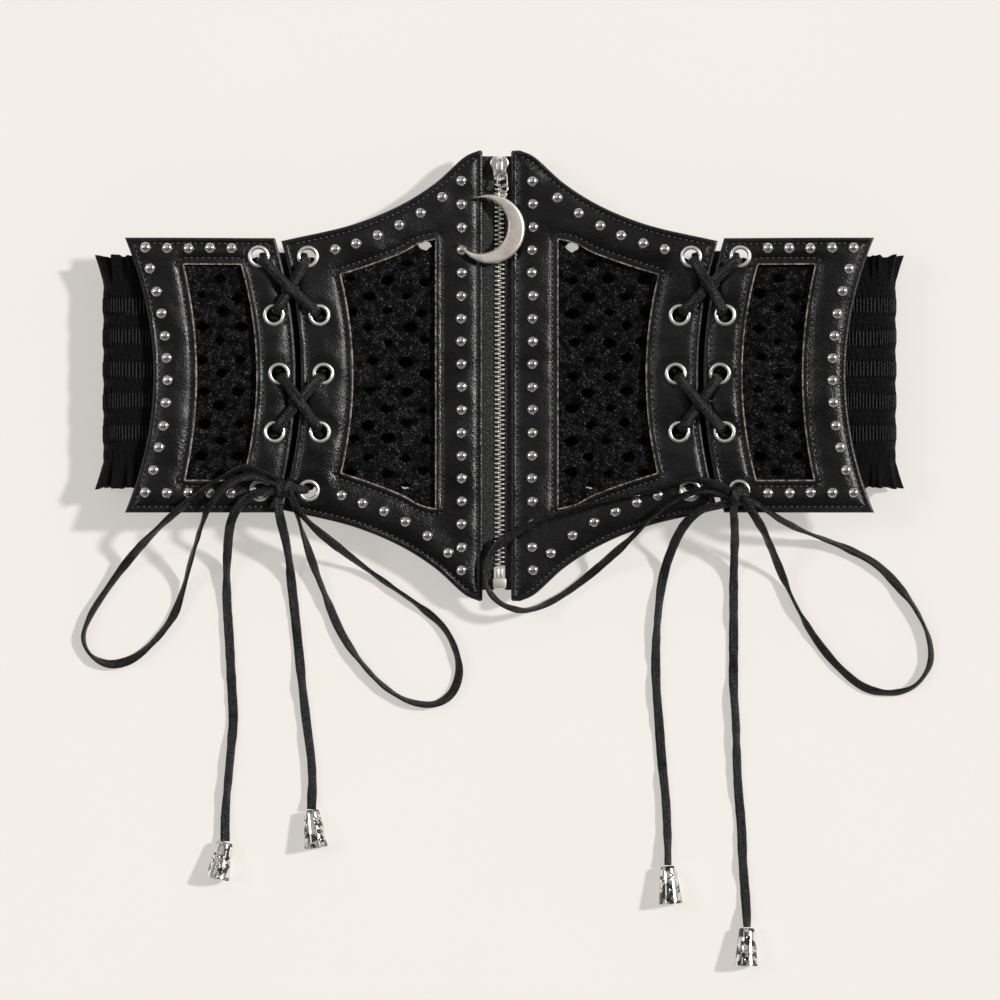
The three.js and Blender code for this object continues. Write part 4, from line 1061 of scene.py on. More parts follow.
# Studs and eyelets
STUD_SIDES = 24
STUD_SINK = 0.1
STUD_STRAY = 0.12
STUD_TILT = 0.03
ZIP_STUDS = {"count": 18, "inset": 9.5, "pitch": 10.24}
CURVE_STUDS = {"count": 6, "pitch": 9.6, "above": 25.7, "drop": 9.1, "below": 22.9, "rise": 12.2}
ROW_STUDS = {"count": 5, "pitch": 9.5, "start": LACED_WAIST + LACING_GAP + 28.6, "drop": 4.7, "rise": 9.0}
COLUMN_STUDS = {"count": 10, "pitch": 9.96, "top": 47.4, "inset": 6.3}
EYELET_SIDES = 40
EYELET_SLOPE = -0.0895
EYELET_TILT = 0.02
EYELET_LIFT = 0.1


def upper_edge_at(x):
    line = upper_edge()
    return float(np.interp(x, line[:, 0], line[:, 1]))


def center_studs(zip_edge):
    column, curve = ZIP_STUDS, CURVE_STUDS
    middle = (column["count"] - 1) / 2
    places = [
        (zip_edge + column["inset"], (middle - i) * column["pitch"]) for i in range(column["count"])
    ]
    for i in range(curve["count"]):
        above, below = curve["above"] + i * curve["pitch"], curve["below"] + i * curve["pitch"]
        places.append((above, upper_edge_at(above) - curve["drop"]))
        places.append((below, curve["rise"] - upper_edge_at(below)))
    return places


def side_studs():
    row, column = ROW_STUDS, COLUMN_STUDS
    places = []
    for i in range(row["count"]):
        x = row["start"] + i * row["pitch"]
        places += [(x, SIDE_REACH - row["drop"]), (x, row["rise"] - SIDE_REACH)]
    for i in range(column["count"]):
        y = column["top"] - i * column["pitch"]
        places.append((side_outer_edge(y) - column["inset"], y))
    return places


STUD_PROFILE = [(2.58, -0.35), (2.55, 0.02)] + [
    (2.42 * math.cos(t), 0.1 + 1.55 * math.sin(t)) for t in np.linspace(0.05, math.pi / 2 - 0.02, 9)
]
EYELET_PROFILE = [
    (3.35, -2.6), (3.25, -0.9), (3.25, 0.2), (3.32, 0.62), (3.6, 0.95), (4.05, 1.06), (4.5, 0.97),
    (4.85, 0.66), (5.05, 0.2), (5.0, -0.15),
]


def studs_on(heap, places, sign, heights, seed):
    random = np.random.default_rng(seed)
    for x, y in places:
        spot = np.array([[x * sign + random.normal(0, STUD_STRAY), y + random.normal(0, STUD_STRAY)]])
        tilt = random.normal(0, STUD_TILT, 2)
        place = (*spot[0], float(heights(spot)[0]) - STUD_SINK)
        points, faces = turned(STUD_PROFILE, STUD_SIDES, place, (*tilt, 1))
        cap = tuple(range(len(points) - STUD_SIDES, len(points)))
        heap.add(points, faces + [cap])


def eyelets_on(heap, edge_x, sign, seed):
    random = np.random.default_rng(seed)
    for row in range(EYELET_ROWS):
        y = eyelet_y(row)
        x = edge_x(y) * sign
        level = float(front_height(x)) + LEATHER_TOP
        tilt = random.normal(0, EYELET_TILT, 2)
        axis = (EYELET_SLOPE * sign + tilt[0], tilt[1], 1)
        heap.add(*turned(EYELET_PROFILE, EYELET_SIDES, (x, y, level + EYELET_LIFT), axis))


eyelet_number = 1
for side, sign in SIGNS.items():
    edge = ZIP_EDGES[side]
    stitches = Heap()
    pricks = Heap()
    studs = Heap()
    for part, outline, window, eyelet_x, places in (
        ("center", center_outline(edge), center_window(edge), center_eyelet_x, center_studs(edge)),
        ("side", side_outline(), side_window(), side_eyelet_x, side_studs()),
    ):
        levels = [eyelet_y(row) for row in range(EYELET_ROWS)]
        bores = [circle(eyelet_x(y), y, EYELET_BARREL + 0.2, BORE_POINTS) for y in levels]
        seed = 11 * eyelet_number
        outer, opening, dimples = leather_panel(f"{side}_{part}_panel", outline, window, bores, sign, seed)
        heights = front_surface(outer, opening, dimples, seed)
        stitch_run(stitches, pricks, outer, STITCH_INSET, heights, seed)
        stitch_run(stitches, pricks, opening, -WINDOW_STITCH, heights, seed + 1)
        studs_on(studs, places, sign, heights, seed)
        rings = Heap()
        eyelets_on(rings, eyelet_x, sign, seed)
        names = [f"eyelet_{eyelet_number + row:02d}" for row in range(EYELET_ROWS)]
        rings.piece(f"{side}_{part}_eyelets", NICKEL, "eyelet_metal", names)
        eyelet_number += EYELET_ROWS
    stitches.piece(f"{side}_stitching", THREAD, "leather")
    pricks.piece(f"{side}_needle_hole_shade", HOLE_SHADE, "leather")
    studs.piece(f"{side}_studs", SILVER, "eyelet_metal")


# Nets behind the windows
NET_MARGIN = 3.2
NET_ACROSS = 16.2
NET_ALONG = 14.4
NET_HOLE = (3.0, 2.3)
NET_HOLE_POWER = 1.45
NET_HOLE_POINTS = 28
NET_RIM = 0.55
NET_FREE = 0.95
NET_CROWN_RUN = 2.4
NET_LEVEL = 0.45
NET_CROWN = 0.62
NET_MOST_LIFT = 0.75
NET_ROWS = range(-16, 17)
NET_COLUMNS = range(-4, 5)
NET_GRID = 1.1
FIBRES = 9000
FIBRE_LENGTH = (0.7, 2.1)
FIBRE_HALF_WIDTH = 0.07


def net_look():
    sheen = {"Sheen_Weight": 0.03, "Sheen_Roughness": 0.35, "Specular_IOR_Level": 0.08}
    look = Look("velvet_net", (0.004, 0.004, 0.0045), 0.7, **sheen)
    pile = look.noise(1.5, 4, 0.75)
    swirl = look.noise(0.55, 3, 0.6, 2.6)
    loops = look.cells(1.15)
    clumps = look.noise(0.3, 3, 0.6)
    look.bump(swirl, 1.0, 1.3)
    look.bump(clumps, 0.9, 1.6)
    look.bump(loops, 0.9, 0.8)
    look.bump(pile, 1.0, 0.4)
    # Darker where the clumps sink and lighter where they rise: painted shade.
    shade = look.mix(look.between(clumps, 0.35, 0.65), (0.0008, 0.0008, 0.001), (0.004, 0.0038, 0.004))
    # Pale grey specks on the pile: painted sparkle highlights.
    painted_sparkle = look.times(look.between(pile, 0.52, 0.62), look.between(swirl, 0.45, 0.62))
    painted_sparkle = look.times(painted_sparkle, look.between(clumps, 0.42, 0.54))
    shade = look.mix(painted_sparkle, shade, (0.26, 0.246, 0.25))
    return look.finish(shade, look.between(pile, 0.3, 0.7, 0.5, 0.85))


NET = net_look()


def net_hole(x, y, seed):
    """A lozenge with round corners and a slightly ragged rim."""
    random = np.random.default_rng(seed)
    turn = full_turn(NET_HOLE_POINTS)
    c, s = np.cos(turn), np.sin(turn)
    power = NET_HOLE_POWER
    reach = 1 / (np.abs(c / NET_HOLE[0]) ** power + np.abs(s / NET_HOLE[1]) ** power) ** (1 / power)
    reach = reach * random.uniform(0.7, 1.15) + ripple(turn, seed, 1.7, 0.3)
    reach = reach + random.normal(0, 0.12, len(turn))
    offset = random.normal(0, 0.55, 2)
    return np.stack([x + offset[0] + reach * c, y + offset[1] + reach * s], axis=1)


def net_holes(window, border, seed):
    middle = (window[:, 0].min() + window[:, 0].max()) / 2
    holes = []
    for row in NET_ROWS:
        for column in NET_COLUMNS:
            x = middle + column * NET_ACROSS + (row % 2) * NET_ACROSS / 2
            y = row * NET_ALONG / 2
            corners = circle(x, y, NET_HOLE[0] + 0.5, 8)
            if inside(corners, border).all() and inside(np.array([[x, y]]), window)[0]:
                holes.append(net_hole(x, y, seed * 1000 + row * 20 + column))
    return holes


def make_net(name, window, border, sign, seed):
    """A net with its holes cut through and its pile."""
    holes = [hole * [sign, 1] for hole in net_holes(window, border, seed)]
    outer = border * [sign, 1]
    loops = [outer, *holes]
    rings = [inset_line(hole, -NET_RIM, loops) for hole in holes]
    grid = grid_over(outer, NET_GRID)
    grid = grid[inside(grid, outer)]
    away = distance_to(grid, loops) > NET_FREE
    centres = np.array([hole.mean(axis=0) for hole in holes])
    away &= distance_to_nearest(grid, centres) > NET_HOLE[1] * 0.75
    for hole in holes:
        near = np.linalg.norm(grid - hole.mean(axis=0), axis=1) < NET_HOLE[0] + 0.6
        away[near] &= ~inside(grid[near], hole)
    flat, faces = triangulate(loops, np.vstack([*rings, grid[away]]))
    to_hole = distance_to(flat, holes)
    crown = 1 - np.clip(1 - to_hole / NET_CROWN_RUN, 0, 1) ** 2
    random = np.random.default_rng(seed)
    level = front_height(flat[:, 0])
    bumps = random.normal(0, 0.09, len(flat)) + wrinkles(flat, seed) * 0.3
    lift = np.clip(NET_CROWN * crown + bumps, 0, NET_MOST_LIFT)
    top = np.column_stack([flat, level + NET_BOTTOM + NET_LEVEL + lift])
    bottom = np.column_stack([flat, level + NET_BOTTOM + 0.25 * (1 - crown)])
    count = len(flat)
    all_faces = two_sides(faces, count)
    all_faces += [(b, a, a + count, b + count) for a, b in rim_edges(faces)]
    cloth = add_piece(f"{name}_cloth", np.vstack([top, bottom]), all_faces, NET, "net", [name])
    fibres = net_fibres(f"{name}_pile", top, faces, random)


def net_fibres(name, top, faces, random):
    """Loose ends of yarn that stand up from the net and lean over its holes."""
    roots = top[faces[random.integers(0, len(faces), FIBRES)]].mean(axis=1)
    lean = unit(random.normal(0, 1, (FIBRES, 3)) * [1, 1, 0.45] + [0, 0, 0.35])
    side = unit(np.cross(lean, random.normal(0, 1, (FIBRES, 3))))
    tip = roots + lean * random.uniform(*FIBRE_LENGTH, FIBRES)[:, None]
    tip[:, 2] = np.clip(tip[:, 2], roots[:, 2] - 0.5, roots[:, 2] + 0.6)
    side = side * FIBRE_HALF_WIDTH
    points = np.stack([roots - side, roots + side, tip], axis=1).reshape(-1, 3)
    triangles = np.arange(3 * FIBRES).reshape(-1, 3)
    return add_piece(name, points, triangles, NET, "net")


net_seed = 5
for side, sign in SIGNS.items():
    edge = ZIP_EDGES[side]
    make_net(f"{side}_center_net", center_window(edge), center_window(edge, NET_MARGIN), sign, net_seed)
    make_net(f"{side}_side_net", side_window(), side_window(NET_MARGIN), sign, net_seed + 1)
    net_seed += 2


# Elastic that closes the belt behind, gathered in five rows with a frill above and below
ELASTIC_START = 146.3
ELASTIC_FOLD_X = 169.25
ELASTIC_FOLD_Z = 10.85
ELASTIC_FOLD_RADIUS = 9.85
ELASTIC_UPPER = 53.3
ELASTIC_LOWER = 50.0
ELASTIC_HALF_WALL = 0.8
FRILL_WIDTH = 12.5
RIB_ROWS = 5
RIB_ROW_MIDDLE = 31.15
RIB_ROW_PITCH = 14.2
RIB_ROW_HALF = 4.05
RIB_PITCH = 1.5
TURN_LENGTH = math.pi * ELASTIC_FOLD_RADIUS
TOP_RUN = ELASTIC_FOLD_X - ELASTIC_START
HALF_RUN = TOP_RUN + TURN_LENGTH + ELASTIC_FOLD_X
SHOWN_RUN = TOP_RUN + TURN_LENGTH * 0.7
SHOWN_STEP = 0.25
HIDDEN_STEP = 0.75
OUTER_ROWS = 92
INNER_UP = np.array([-50, -47, -44, -41, -37.5, -20, 0, 20, 40.8, 44, 47, 50, 53.3])


def elastic_look():
    look = Look("shirred_elastic", (0.004, 0.004, 0.0045), 0.5, Specular_IOR_Level=0.12)
    along, up, _ = look.split(look.flat)
    knit = look.times(look.wave(along, 0.85), look.wave(up, 1.1))
    threads = look.wave(look.math("ADD", up, look.noise(0.4, 2)), 0.7)
    fuzz_and_sparkle = look.noise(2.6, 4, 0.7)
    look.bump(knit, 1.0, 0.4)
    look.bump(threads, 0.6, 0.2)
    look.bump(fuzz_and_sparkle, 0.8, 0.3)
    # Darker in the knit's hollows and lighter on its loops: painted shade.
    shade = look.mix(look.between(knit, -1, 1), (0.0006, 0.0006, 0.0008), (0.004, 0.004, 0.0045))
    # Pale grey on the rib crests: painted highlight.
    shine = look.times(look.between(look.mark("lift"), 0.45, 0.95), look.between(fuzz_and_sparkle, 0.35, 0.6))
    shade = look.mix(look.times(shine, 0.9), shade, (0.13, 0.13, 0.137))
    # Grey flecks along the threads: painted sparkle highlights.
    thread_sparkle = look.times(look.between(threads, 0.3, 1), look.between(fuzz_and_sparkle, 0.5, 0.62))
    shade = look.mix(look.times(thread_sparkle, 0.7), shade, (0.065, 0.065, 0.070))
    return look.finish(shade, look.between(fuzz_and_sparkle, 0.3, 0.7, 0.36, 0.6))


def elastic_place(run, offset):
    """Where a point of the band lies, by its way along the band from the right seam to the left one."""
    mirrored = run > HALF_RUN
    way = np.where(mirrored, 2 * HALF_RUN - run, run)
    angle = np.clip((way - TOP_RUN) / ELASTIC_FOLD_RADIUS, 0, math.pi)
    before = np.minimum(way - TOP_RUN, 0)
    after = np.maximum(way - TOP_RUN - TURN_LENGTH, 0)
    reach = ELASTIC_FOLD_RADIUS + offset
    x = ELASTIC_FOLD_X + before - after + reach * np.sin(angle)
    return np.where(mirrored, -x, x), ELASTIC_FOLD_Z + reach * np.cos(angle)


def elastic_relief(run, y):
    """Lift of the ribs, wave of the whole cloth, its push in Y, and how much each point is a rib."""
    random = np.random.default_rng(8)
    lift = np.zeros_like(run)
    rib = np.zeros_like(run)
    for row in range(RIB_ROWS):
        middle = RIB_ROW_MIDDLE - row * RIB_ROW_PITCH
        phase = random.uniform(0, 6.28)
        half = RIB_ROW_HALF * (1 + 0.07 * np.sin(run / 5.3 + phase))
        inside_row = np.clip((half - np.abs(y - middle + 0.35 * np.sin(run / 7.7 + phase))) / 0.9, 0, 1)
        inside_row = smooth_step(inside_row)
        drift = 0.5 * np.sin(run / 11 + phase) + 0.3 * np.sin(run / 4.1 + 2 * phase)
        crest = 0.5 + 0.5 * np.cos(2 * math.pi * (run + drift) / RIB_PITCH)
        rib += inside_row * crest ** 1.3
        lift += inside_row * (0.85 * crest ** 1.2 - 0.2)
    between = 0.25 * np.sin(2 * math.pi * run / (2 * RIB_PITCH) + y * 0.05) * np.cos(y * 0.44)
    above = np.clip((y - (ELASTIC_UPPER - FRILL_WIDTH)) / FRILL_WIDTH, 0, 1)
    below = np.clip((-ELASTIC_LOWER + FRILL_WIDTH - y) / FRILL_WIDTH, 0, 1)
    frill = above + below
    wander = 1.4 * np.sin(run / 9.1) + 0.9 * np.sin(run / 5.7 + 1)
    fold = np.sin(2 * math.pi * (run + wander) / 7) + 0.45 * np.sin(2 * math.pi * (run - wander) / 3.3 + 1.3)
    pleat = np.clip(frill / 0.25, 0, 1) * (0.25 + 0.75 * frill)
    lift += (between + 0.1) * (1 - np.clip(frill * 4, 0, 1)) * (1 - rib)
    wave = 1.25 * pleat * fold + 2.5 * np.clip(frill, 0, 1) ** 1.5 - 2.5
    push = 0.45 * fold * (above - below) + 0.35 * np.sin(run / 2.3) * (above - below)
    return lift, wave, push, rib


def elastic_band():
    """The band as two skins, finely divided outside and where it is seen, with all four rims closed."""
    shown = np.arange(0, SHOWN_RUN, SHOWN_STEP)
    hidden = np.arange(SHOWN_RUN, HALF_RUN, HIDDEN_STEP)
    right = np.concatenate([shown, hidden])
    run = np.concatenate([right, [HALF_RUN], (2 * HALF_RUN - right)[::-1]])
    grid_run, grid_up = np.meshgrid(run, np.linspace(-ELASTIC_LOWER, ELASTIC_UPPER, OUTER_ROWS))
    lift, wave, push, rib = elastic_relief(grid_run, grid_up)
    x, z = elastic_place(grid_run, ELASTIC_HALF_WALL + lift + wave)
    outer = np.stack([x, grid_up + push, np.maximum(z, 0.05)], axis=2)
    inner_run, inner_y = np.meshgrid(run, INNER_UP)
    _, wave, push, _ = elastic_relief(inner_run, inner_y)
    x, z = elastic_place(inner_run, -ELASTIC_HALF_WALL + wave)
    inner = np.stack([x, inner_y + push, np.maximum(z, 0.9)], axis=2)
    outside = np.arange(grid_run.size).reshape(grid_run.shape)
    within = grid_run.size + np.arange(inner_run.size).reshape(inner_run.shape)
    last = len(run) - 1
    faces = [(outside[r, c], outside[r, c + 1], outside[r + 1, c + 1], outside[r + 1, c])
             for r in range(OUTER_ROWS - 1) for c in range(last)]
    faces += [(within[r, c], within[r + 1, c], within[r + 1, c + 1], within[r, c + 1])
              for r in range(len(INNER_UP) - 1) for c in range(last)]
    for c in range(last):
        faces.append((within[0, c], within[0, c + 1], outside[0, c + 1], outside[0, c]))
        faces.append((outside[-1, c], outside[-1, c + 1], within[-1, c + 1], within[-1, c]))
    faces.append((*outside[:, 0], *within[::-1, 0]))
    faces.append((*outside[::-1, last], *within[:, last]))
    points = np.vstack([outer.reshape(-1, 3), inner.reshape(-1, 3)])
    uv = np.vstack([
        np.stack([grid_run, grid_up], axis=2).reshape(-1, 2),
        np.stack([inner_run, inner_y], axis=2).reshape(-1, 2),
    ])
    # How much each point is a rib, which places the painted rib highlight.
    marks = {"lift": np.concatenate([rib.ravel(), np.zeros(inner_run.size)])}
    faces = [face[::-1] for face in faces]
    return add_piece("elastic_cloth", points, faces, elastic_look(), "elastic", ["elastic_band"], uv, marks)


elastic_band()


# Zip: woven tapes, teeth, box and slider
TAPE_REACH = 14.5
TAPE_START = 2.45
TAPE_UPPER = 98.5
TAPE_LOWER = 96.0
CHAIN_UPPER = 88.6
CHAIN_LOWER = 86.0
TAPE_ROWS = 196
TOOTH_PITCH = 2.05
TOOTH_START = 0.55
JAW = {"half": 0.47, "across": (0.2, 2.15), "corner": 0.2, "levels": (-1.85, 0.42)}
HEAD = {"half": 0.3, "across": (-0.5, 0.4), "corner": 0.15, "levels": (-1.5, -0.25)}
TOOTH_EDGE = 0.2
SLIDER_START = 88.9
SLIDER_LENGTH = 9.6
SLIDER_ACROSS = 25

# Half width of the slider at shares of its length, its plates, its post and the line of its bridge
SLIDER_SHAPE = [
    (2.2, 0.0), (2.9, 0.03), (3.1, 0.25), (3.5, 0.42), (4.4, 0.58), (4.5, 0.66), (4.15, 0.8),
    (3.1, 0.92), (1.7, 1.0),
]
SLIDER_PLATES = ((0.0, 2.0), (-3.4, -1.4))
SLIDER_POST = ((-1.8, 1.8, 89.2, 98.0), 0.6, (-1.6, 0.2), 0.1)
SLIDER_RIM = 0.75
BRIDGE_SECTION = (2.2, 0.95, 16, 2.4)
METAL_STEP = 0.35
LINK_STEP = 0.45
BRIDGE = [
    (0, 89.6, 1.6), (0, 89.7, 3.4), (0, 90.7, 4.75), (0, 93.2, 5.05), (0, 95.8, 4.7), (0, 97.3, 3.5),
    (0, 97.9, 1.7),
]

# Blocks of the zip's box: left, right, bottom and top, corner, height and edge
BOX_BLOCKS = [
    ((-3.0, 3.0, -95.2, -90.7), 0.4, 2.0, 0.3),
    ((-1.6, -0.1, -90.8, -86.3), 0.2, 1.7, 0.25),
    ((0.15, 1.6, -90.8, -86.3), 0.2, 1.7, 0.25),
]


def tape_look():
    look = Look("zipper_tape", (0.008, 0.008, 0.009), 0.6)
    x, y, _ = look.split(look.place)
    ribs = look.wave(look.math("ADD", y, look.slant(x, "PINGPONG", 1.1)), 0.8)
    weave = look.times(ribs, look.wave(x, 0.55))
    look.bump(weave, 0.8, 0.2)
    look.bump(look.cells(1.5, "SMOOTH_F1"), 0.9, 0.35)
    # Darker in the weave's hollows and lighter on its ridges: painted shade.
    shade = look.mix(look.between(weave, -0.6, 1), (0.0008, 0.0008, 0.001), (0.012, 0.012, 0.013))
    shade = look.mix(look.between(look.noise(1.6, 3, 0.7), 0.54, 0.6), shade, (0.12, 0.118, 0.12))
    return look.finish(shade, look.between(look.noise(0.8, 2), 0.3, 0.7, 0.6, 0.8))


TAPE = tape_look()
TEETH = metal_look("zip_metal", (0.95, 0.92, 0.87), 0.3, 0.42, 2.2, 0.02)
POLISHED = metal_look("polished_metal", (0.92, 0.89, 0.85), 0.2, 0.34, 1.4, 0.012)
SATIN = metal_look("satin_metal", (0.79, 0.725, 0.66), 0.44, 0.52, 3.0, 0.008)


def laid(points):
    """Raises points given above the underside of the leather to where the front lies."""
    points = np.array(points, float)
    points[:, 2] += front_height(points[:, 0])
    return points


def zip_tape(name, sign):
    """A woven tape with a flange that reaches under the teeth."""
    y = np.linspace(-TAPE_LOWER, TAPE_UPPER, TAPE_ROWS)
    profile = [
        (TAPE_START, -0.72), (TAPE_START + 0.25, -0.36), (TAPE_START + 0.8, -0.28), (TAPE_START + 1.3, -0.4),
        (5.2, -0.42), (9.0, -0.4), (TAPE_REACH - 0.1, -0.44), (TAPE_REACH, -0.7), (TAPE_REACH - 0.1, -1.08),
        (9.0, -1.1), (5.2, -1.1),
    ]
    under_teeth = [(3.6, -1.3), (2.6, -2.2), (0.03, -2.3), (0.03, -1.95), (2.3, -1.9), (TAPE_START, -1.2)]
    beyond_teeth = [
        (3.6, -1.12), (3.3, -1.13), (3.0, -1.13), (2.8, -1.12), (2.65, -1.08), (TAPE_START + 0.1, -1.0),
    ]
    wave = ripple(y, 4 if sign > 0 else 5, 40, 0.12)
    points = []
    for i, up in enumerate(y):
        inner = under_teeth if -CHAIN_LOWER < up < CHAIN_UPPER - 0.3 else beyond_teeth
        for x, z in profile + inner:
            points.append((x * sign, up, z + wave[i] * 0.3))
    sides = len(profile) + len(under_teeth)
    faces = [face[::-1] for face in ring_faces(TAPE_ROWS, sides, flip=True)]
    faces = [face[::sign] for face in faces + end_faces(TAPE_ROWS, sides)]
    add_piece(f"{name}_woven_tape", laid(points), faces, TAPE, "zipper_tape", [name])


def rounded_block(outline, low, high, edge):
    """A closed outline made into a block with rounded upper and lower edges."""
    outline = np.asarray(outline, float)
    if area_of(outline) < 0:
        outline = outline[::-1]
    normals = normals_of(outline)
    levels = []
    for turn in np.linspace(0, math.pi / 2, 4):
        levels.append((edge * (1 - math.sin(turn)), low + edge * (1 - math.cos(turn))))
    levels += [(offset, low + high - level) for offset, level in reversed(levels)]
    points = np.vstack([np.column_stack([outline + normals * offset, np.full(len(outline), level)])
                        for offset, level in levels])
    count = len(outline)
    ends = [face[::-1] for face in end_faces(len(levels), count)]
    return points, ring_faces(len(levels), count, flip=True) + ends


def box_outline(left, right, bottom, top, corner):
    return np.array([
        (left + corner, bottom), (right - corner, bottom), (right, bottom + corner), (right, top - corner),
        (right - corner, top), (left + corner, top), (left, top - corner), (left, bottom + corner),
    ])


def zip_chain():
    """Teeth of both sides, each a jaw on the tape and a head that meshes with the other side."""
    heap = Heap()
    random = np.random.default_rng(12)
    for sign in (1, -1):
        start = -CHAIN_LOWER + (TOOTH_START if sign > 0 else TOOTH_START + TOOTH_PITCH / 2)
        for i in range(int((CHAIN_LOWER + CHAIN_UPPER - 1) / TOOTH_PITCH)):
            y = start + i * TOOTH_PITCH
            for block in (JAW, HEAD):
                half = block["half"]
                outline = box_outline(*block["across"], y - half, y + half, block["corner"])
                points, faces = rounded_block(outline, *block["levels"], TOOTH_EDGE)
                points[:, 2] += random.normal(0, 0.03)
                points[:, 1] += random.normal(0, 0.02)
                points[:, 0] *= sign
                heap.add(laid(points), [face[::sign] for face in faces])
    heap.piece("zip_teeth", TEETH, "zipper_metal", ["zipper_chain"])


def zip_box():
    heap = Heap()
    for sides, corner, height, edge in BOX_BLOCKS:
        points, faces = rounded_block(box_outline(*sides, corner), 0.0, height, edge)
        heap.add(laid(points), faces)
    heap.piece("zip_box_metal", SATIN, "zipper_metal", ["zipper_box"])


def plate(upper, lower):
    """A closed piece from rows of points on its upper side and under them on its lower side."""
    rings = np.concatenate([upper, lower[:, 1:-1][:, ::-1]], axis=1)
    rows, sides = rings.shape[:2]
    return rings.reshape(-1, 3), ring_faces(rows, sides) + end_faces(rows, sides)


def zip_slider():
    """The slider: a shield above and below the teeth, the post between them and the bridge on top."""
    line = smooth_path([(half, SLIDER_START + up * SLIDER_LENGTH) for half, up in SLIDER_SHAPE], METAL_STEP)
    half, up = line[:, :1], line[:, 1:]
    share = np.linspace(-1, 1, SLIDER_ACROSS)[None]
    x = share * half
    y = np.repeat(up, SLIDER_ACROSS, axis=1)
    end = np.minimum(up - SLIDER_START, SLIDER_START + SLIDER_LENGTH - up)
    rim = np.clip(np.minimum((1 - np.abs(share)) * half, end) / SLIDER_RIM, 0, 1)
    crown = 0.35 * (1 - np.abs(x) / 4.5)
    heap = Heap()
    for low, high in SLIDER_PLATES:
        top = high + crown * rim - 0.6 * (1 - rim) ** 2
        points, faces = plate(np.stack([x, y, top], axis=2), np.stack([x, y, 0 * x + low], axis=2))
        heap.add(laid(points), faces)
    sides, corner, levels, edge = SLIDER_POST
    points, faces = rounded_block(box_outline(*sides, corner), *levels, edge)
    heap.add(laid(points), faces)
    path = smooth_path(BRIDGE, METAL_STEP)
    tangent = unit(np.gradient(path, axis=0))
    across = np.repeat([[1.0, 0, 0]], len(path), axis=0)
    widths = 1 + 0.35 * np.sin(np.linspace(0, math.pi, len(path)))
    section = widened(rounded_section(*BRIDGE_SECTION), widths)
    points, faces, _ = tube(path, across, unit(np.cross(across, tangent)), section)
    heap.add(laid(points), faces)
    heap.piece("slider_metal", POLISHED, "zipper_metal", ["zipper_slider"])


# The pull link, the jump ring and the moon
PULL_TOP = 91.3
PULL_LOW = 84.5
PULL_HALF = 2.1
PULL_CORNER = 0.9
PULL_SHIFT = 1.2
PULL_LEVEL = 2.7
PULL_CLIMB = 2.2
WIRE_RADIUS = 0.42
LUG_WIRE_RADIUS = 0.44
LUG_RADIUS = 1.66
LUG_REACH = 1.0
RING_RADIUS = 2.3
RING_TILT = math.radians(50)
HANG_TURN = math.radians(71)
HANG = np.array([math.cos(HANG_TURN), math.sin(HANG_TURN), 0])
MOON_CENTRE = np.array([-4.1, 65.5, 4.9])
MOON_OUTER = 15.5
MOON_INNER = 12.4
MOON_SHIFT = 4.96
MOON_TURN = math.radians(-19)
MOON_ROWS = 120
MOON_ACROSS = 13
MOON_LIP = 0.12


def wire_ring(line, radius):
    """Round wire along a closed line, with its faces turned outwards."""
    tangent = closed_tangent(line)
    outward = square_to(line - line.mean(axis=0), tangent)
    section = rounded_section(2 * radius, 2 * radius, 12, 2)
    points, faces, _ = tube(line, outward, np.cross(outward, tangent), section, True)
    return laid(points), faces


def links():
    top, low, half, corner = PULL_TOP, PULL_LOW, PULL_HALF, PULL_CORNER
    slope = PULL_CLIMB / (top - low)
    flat = [
        (half - corner, low), (half, low + corner), (half, (top + low) / 2), (half - 0.2, top - corner),
        (half - corner, top), (corner - half, top), (0.2 - half, top - corner), (-half, (top + low) / 2),
        (-half, low + corner), (corner - half, low),
    ]
    line = [(PULL_SHIFT + x, y, PULL_LEVEL + (top - y) * slope) for x, y in flat]
    line = smooth_path(line + line[:1], LINK_STEP)[:-1]
    add_piece("pull_wire", *wire_ring(line, WIRE_RADIUS), POLISHED, "zipper_metal", ["slider_pull"])
    level = np.array([HANG[1], -HANG[0], 0]) * math.cos(RING_TILT)
    across = level + np.array([0, 0, math.sin(RING_TILT)])
    centre = MOON_CENTRE + HANG * (MOON_OUTER + LUG_REACH + RING_RADIUS)
    ring = centre + RING_RADIUS * around(HANG, across, full_turn(40))
    add_piece("jump_ring_wire", *wire_ring(ring, WIRE_RADIUS), POLISHED, "zipper_metal", ["jump_ring"])


